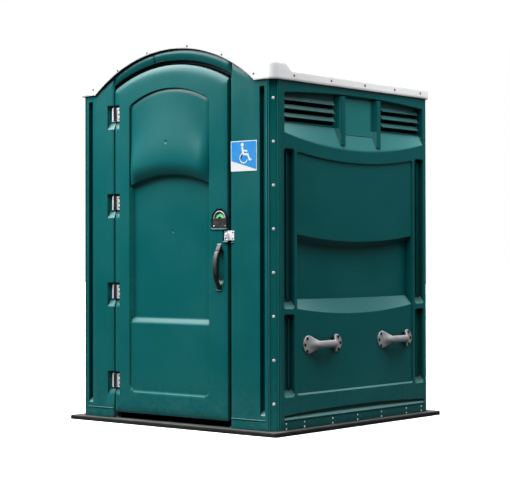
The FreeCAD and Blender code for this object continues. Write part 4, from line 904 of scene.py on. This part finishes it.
def flat_piece(name, material, slot, *plates):
    """A piece of flat plates on the sign, each an outline round the sign's middle, a near y and a far y."""
    made = bmesh.new()
    for corners, near, far in plates:
        back, front = [[made.verts.new((sign_x + x, y, sign_z + z)) for x, z in corners] for y in (near, far)]
        made.faces.new(back)
        made.faces.new(front[::-1])
        for i in range(len(corners)):
            after = (i + 1) % len(corners)
            made.faces.new([back[i], back[after], front[after], front[i]])
    bmesh.ops.triangulate(made, faces=[face for face in made.faces if len(face.verts) > 4])
    bmesh.ops.recalc_face_normals(made, faces=made.faces)
    piece(name, made, material, "cabin", slot, sharp=40)


def rounded_corners(corners, radius, steps=5):
    """A convex outline with each corner rounded."""
    found = []
    for i, corner in enumerate(corners):
        here = Vector(corner)
        before, after = Vector(corners[i - 1]) - here, Vector(corners[(i + 1) % len(corners)]) - here
        first, last = here + before.normalized() * radius, here + after.normalized() * radius
        for step in range(steps + 1):
            t = step / steps
            found.append(tuple(first.lerp(here, t).lerp(here.lerp(last, t), t)))
    return found


def stroke(start, end, radius):
    """The outline of a straight stroke with round ends."""
    base = degrees(atan2(end[1] - start[1], end[0] - start[0])) + 90
    return arc(*start, radius, base, base + 180, 8) + arc(*end, radius, base + 180, base + 360, 8)


def plastic_print(name, colour, pale):
    """A satin printed plastic."""
    return moulding(
        name, colour, pale, 0.32, gleam=0.4, mottle=0.35, mottle_scale=22, grain_scale=1500, dust=0.0,
        edge_polish=0.2, edge_radius=0.001, crevice=0.0,
    )


print_white = plastic_print("Sign White", (0.56, 0.58, 0.60), (0.62, 0.63, 0.64))
print_blue = plastic_print("Sign Blue", (0.014, 0.20, 0.52), (0.04, 0.24, 0.56))
plate = rounded_corners([(x * sign_half_wide, z * sign_half_tall) for x, z in square], 0.005)
flat_piece("sign_plate", print_white, "seat_white", (plate, sign_back, sign_back - sign_thick))

wide, tall = sign_half_wide - field_margin, sign_half_tall - field_margin
field = rounded_corners([(-wide, -0.026), (wide, -0.079), (wide, tall), (-wide, tall)], 0.003)
flat_piece("sign_field", print_blue, "fitting_grey", (field, sign_back - 0.0005, field_face))

figure_back, step_proud = field_face + print_sunk, 0.00003
strokes = (
    # start, end, half width: back, arm, thigh, shin, foot
    ((-0.010, 0.046), (-0.004, 0.010), 0.0070), ((-0.008, 0.032), (0.024, 0.027), 0.0048),
    ((-0.003, 0.010), (0.030, 0.008), 0.0062), ((0.030, 0.008), (0.044, -0.024), 0.0055),
    ((0.044, -0.024), (0.056, -0.021), 0.0045),
)
limbs = [(stroke(*row), figure_back, figure_face - i * step_proud) for i, row in enumerate(strokes)]
head = arc(-0.011, 0.064, 0.0105, 0, 345, 23)
wheel_x, wheel_z, wheel_radius, wheel_half, wheel_start, wheel_end = 0.000, -0.012, 0.0285, 0.0030, 105, 340
wheel = arc(wheel_x, wheel_z, wheel_radius + wheel_half, wheel_start, wheel_end, 30)
wheel += arc(wheel_x, wheel_z, wheel_radius - wheel_half, wheel_end, wheel_start, 30)
limbs += [(head, figure_back, figure_face), (wheel, figure_back, figure_face - print_sunk)]
flat_piece("sign_figure", print_white, "seat_white", *limbs)

# Door handle
# A bowed strap of black plastic, screwed from behind. Its upper part is ribbed for the fingers, down to a
# notch, and painted paler grey towards the top as a reflection.
strap_x, strap_half_wide, strap_face = 0.372, 0.0150, -0.780
strap_middle, strap_reach, strap_out, strap_in, strap_least = 0.953, 0.1344, 0.0495, 0.036, 0.0004
rib_low, rib_high, rib_pitch, rib_deep = 1.048, 1.084, 0.0060, 0.0024
notch_z, notch_half, notch_deep, notch_margin = 1.043, 0.0028, 0.0055, 0.006
sheen_low, sheen_high, sheen_grey = 0.90, 1.06, (0.085, 0.088, 0.092)


def blunt(value, power):
    """A share of a turn made blunter, with its sign kept."""
    return copysign(abs(value) ** power, value)


def strap_ring(z, points=24):
    """A section of the strap at a height."""
    share = (z - strap_middle) / strap_reach
    outer = strap_out * (1 - abs(share) ** 2.0) ** 0.94 + 0.0006
    inner = strap_in * max(1 - (share / 0.86) ** 2, 0)
    if rib_low < z < rib_high:
        outer -= rib_deep * (0.5 + 0.5 * cos(2 * pi * (z - rib_low) / rib_pitch))
    outer -= notch_deep * exp(-(((z - notch_z) / notch_half) ** 2))
    middle, thick = (outer + inner) / 2, max((outer - inner) / 2, strap_least)
    half = strap_half_wide * (1 + 0.10 * share**4)
    found = []
    for i in range(points):
        angle = 2 * pi * i / points
        across, out = blunt(cos(angle), 0.6) * half, blunt(sin(angle), 0.8) * thick
        found.append((strap_x + across, strap_face - middle - out, z))
    return found


strap_foot, strap_head = strap_middle - strap_reach, strap_middle + strap_reach
coarse, fine, fine_start = 0.0056, 0.00083, notch_z - notch_margin
heights = [strap_foot + i * coarse for i in range(40) if strap_foot + i * coarse < fine_start]
heights += [fine_start + i * fine for i in range(56)]
heights = [z for z in heights if z < strap_head - strap_least] + [strap_head]
strap_black = moulding(
    "Strap Black", (0.003, 0.003, 0.004), (0.03, 0.03, 0.035), 0.38, gleam=0.4, mottle_scale=30,
    grain_scale=1200, dust=0.0, edge_polish=0.35, edge_radius=0.003, crevice_reach=0.02,
)
# Painted reflection: the strap pales to grey towards its top.
strap_tree = strap_black.node_tree
height = xyz(strap_tree, object_place(strap_tree))["Z"]
tinted(strap_tree, ranged(strap_tree, height, sheen_low, sheen_high), sheen_grey)
strap_rings = [strap_ring(z) for z in heights]
tube("handle_strap", strap_rings, strap_black, "door", "fitting_black", "door_handle", sharp=50)

# Lifting handles on the side walls
# Grey moulded bows. Each end spreads into a flat fan that three bolts hold to the wall.
bow_reach, bow_half_bar, bow_half_fan, bow_out, bow_thick = 0.182, 0.0215, 0.0545, 0.0495, 0.024
bow_neck, bow_fan_start, bow_flange, bow_ridge, bow_steps = 0.070, 0.130, 0.0064, 0.019, 56
bow_fall_start, bow_fall_end, bow_hollow_end = 0.078, 0.140, 0.112
bow_wall, bow_z = 0.7722, 0.501


def eased(value, low, high):
    """A smooth share of the way from low to high."""
    share = min(max((value - low) / (high - low), 0), 1)
    return share * share * (3 - 2 * share)


def bow_ring(along, points=28):
    """A section of a lifting handle: pairs of a height over the wall and a distance up or down."""
    far = abs(along)
    spread = eased(far, bow_neck, bow_fan_start)
    half = bow_half_bar + (bow_half_fan - bow_half_bar) * spread
    if far > bow_fan_start:
        share = (far - bow_fan_start) / (bow_reach + 0.0004 - bow_fan_start)
        half *= sqrt(max(1 - share**2, 0.0001))
    ridge = (bow_out - bow_flange) * (1 - eased(far, bow_fall_start, bow_fall_end))
    lift = 1 - eased(far, bow_fall_start, bow_hollow_end)
    found = []
    for i in range(points):
        angle = 2 * pi * i / points
        share = blunt(cos(angle), 0.8)
        rounding = bow_thick / 2 * sqrt(max(1 - share * share, 0))
        shoulder = (1 - abs(share) ** 8) ** 0.5
        bar_middle = bow_out - bow_thick / 2
        fan_top = bow_flange * shoulder + ridge * exp(-((share * half / bow_ridge) ** 2)) * shoulder
        top = (bar_middle + rounding) * (1 - spread) + fan_top * spread if far < bow_fan_start else fan_top
        under = (bar_middle - rounding) * lift
        found.append((top if sin(angle) >= 0 else under, share * half))
    return found


handle_grey = moulding(
    "Handle Grey", (0.24, 0.245, 0.258), (0.33, 0.335, 0.345), 0.36, gleam=0.5, mottle=0.4, mottle_scale=18,
    grain_scale=900, dust=0.25, dust_height=0.5, edge_polish=0.4, edge_radius=0.003, crevice_reach=0.02,
)
for side, wall in (("left", -1), ("right", 1)):
    for name, middle in (("front", -0.328), ("rear", 0.404)):
        rings = []
        for step in range(bow_steps + 1):
            along = -bow_reach * cos(pi * step / bow_steps)
            ring = bow_ring(along)
            rings.append([(wall * (bow_wall + out), middle + along, bow_z + up) for out, up in ring])
        node = f"side_handle_{side}_{name}"
        tube(f"lifting_{side}_{name}", rings, handle_grey, "cabin", "fitting_grey", node, sharp=40)

# Toilet: tank, seat and lid
# The tank is a dark tub with a bolted top; seat and lid are glossy white and turn on a steel rod in two ears.
tank_grey = moulding(
    "Tank Grey", (0.035, 0.037, 0.040), (0.10, 0.10, 0.105), 0.5, gleam=0.4, mottle=0.6, mottle_scale=7,
    grain_scale=350, dust=0.4, dust_height=0.5, edge_polish=0.4,
)
seat_white = moulding(
    "Gloss White", (0.62, 0.63, 0.62), (0.70, 0.70, 0.68), 0.22, gleam=0.5, mottle=0.5, mottle_scale=12,
    grain_scale=900, dust=0.0, edge_polish=0.2, edge_radius=0.004, crevice=0.5, crevice_reach=0.03,
)
paint_nodes(tank_grey, "waste_tank", "tank_top")
paint_nodes(seat_white, "toilet_seat", "seat_lid", "seat_hinge_ears")

# Vent pipe and cap
# Drawn grey pipe from the tank to a cap above the roof, dulled in patches by the weather.
pipe_grey = moulding(
    "Pipe Grey", (0.16, 0.165, 0.17), (0.24, 0.24, 0.245), 0.45, gleam=0.4, mottle=0.6, mottle_scale=6,
    grain_scale=420, dust=0.0,
)
paint_nodes(pipe_grey, "vent_pipe", "vent_cap")

# Grab rails
# Bent stainless tube with fine scratches, and a flange at each foot.
rail_steel = plated("Rail Steel", (0.62, 0.62, 0.61), (0.42, 0.42, 0.41), 0.3, spangle_scale=30, dulling=0.3)
paint_nodes(rail_steel, "grab_rail_left", "grab_rail_right")

# Paper holder and roll
# A grey moulded bracket carries a spindle; on it hangs a roll of matt tissue, pressed with small dots.
fitting_grey = moulding(
    "Fitting Grey", (0.10, 0.105, 0.11), (0.19, 0.19, 0.20), 0.42, gleam=0.45, mottle=0.4, mottle_scale=20,
    grain_scale=800, dust=0.0, edge_polish=0.4, edge_radius=0.002,
)
paint_nodes(fitting_grey, "paper_holder", "paper_spindle")

roll_x, roll_z, roll_low, roll_high, around = -0.659, 0.826, 0.070, 0.170, 72
roll_radius, core_radius, roll_ridges = 0.0545, 0.0200, 9


def roll_point(radius, angle, y):
    """A point at a distance from the spindle."""
    return roll_x + radius * cos(angle), y, roll_z + radius * sin(angle)


warm_white, cold_white = (0.60, 0.59, 0.56, 1), (0.76, 0.75, 0.73, 1)
tissue, sheet, sheet_shader = new_paint("Tissue")
sheet_place = object_place(sheet)
dots = add(sheet, "ShaderNodeTexVoronoi", {"Vector": sheet_place, "Scale": 330.0}).outputs["Distance"]
whites = mixed(sheet, noise(sheet, sheet_place, 40.0, 4.0), warm_white, cold_white)
wire(whites, sheet_shader["Base Color"])
wire(ranged(sheet, dots, 0, 1, 0.85, 1.0), sheet_shader["Roughness"])
dented(sheet, dots, distance=0.0008, strength=0.7)

profile = [(core_radius, roll_low + 0.002)]
for i in range(roll_ridges * 2 + 1):
    radius = core_radius + 0.0008 + (roll_radius - core_radius - 0.003) * i / (roll_ridges * 2)
    profile.append((radius, roll_low + (0.0009 if i % 2 else 0)))
profile += [(roll_radius - 0.0008, roll_low + 0.0008), (roll_radius, roll_low + 0.0028)]
profile += [(radius, roll_low + roll_high - y) for radius, y in profile[::-1]]
rings = []
for i in range(around):
    angle = 2 * pi * i / around
    loose = (0.0005 * sin(2 * angle + 0.6) + 0.0003 * sin(5 * angle)) / roll_radius**3
    rings.append([roll_point(radius + loose * radius**3, angle, y) for radius, y in profile])
tube("paper_wound", rings, tissue, "paper", "roll_paper", "paper_roll", sharp=50, looped=True)

flap_steps, flap_sunk, flap_thick = 14, 0.0003, 0.0004
flap_low, flap_high = roll_low + 0.0025, roll_high - 0.0025
rings = []
for i in range(flap_steps + 1):
    angle = radians(-95 + 4.6 * i)
    lift = 0.0009 + 0.0035 * max(0, (4 - i) / 4) ** 2
    under = roll_radius + lift * min((flap_steps - i) / 6, 1) - flap_sunk
    over = under + flap_thick
    corners = ((under, flap_low), (over, flap_low), (over, flap_high), (under, flap_high))
    rings.append([roll_point(radius, angle, y) for radius, y in corners])
tube("paper_flap", rings, tissue, "paper", "roll_paper", sharp=50)

low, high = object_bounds()
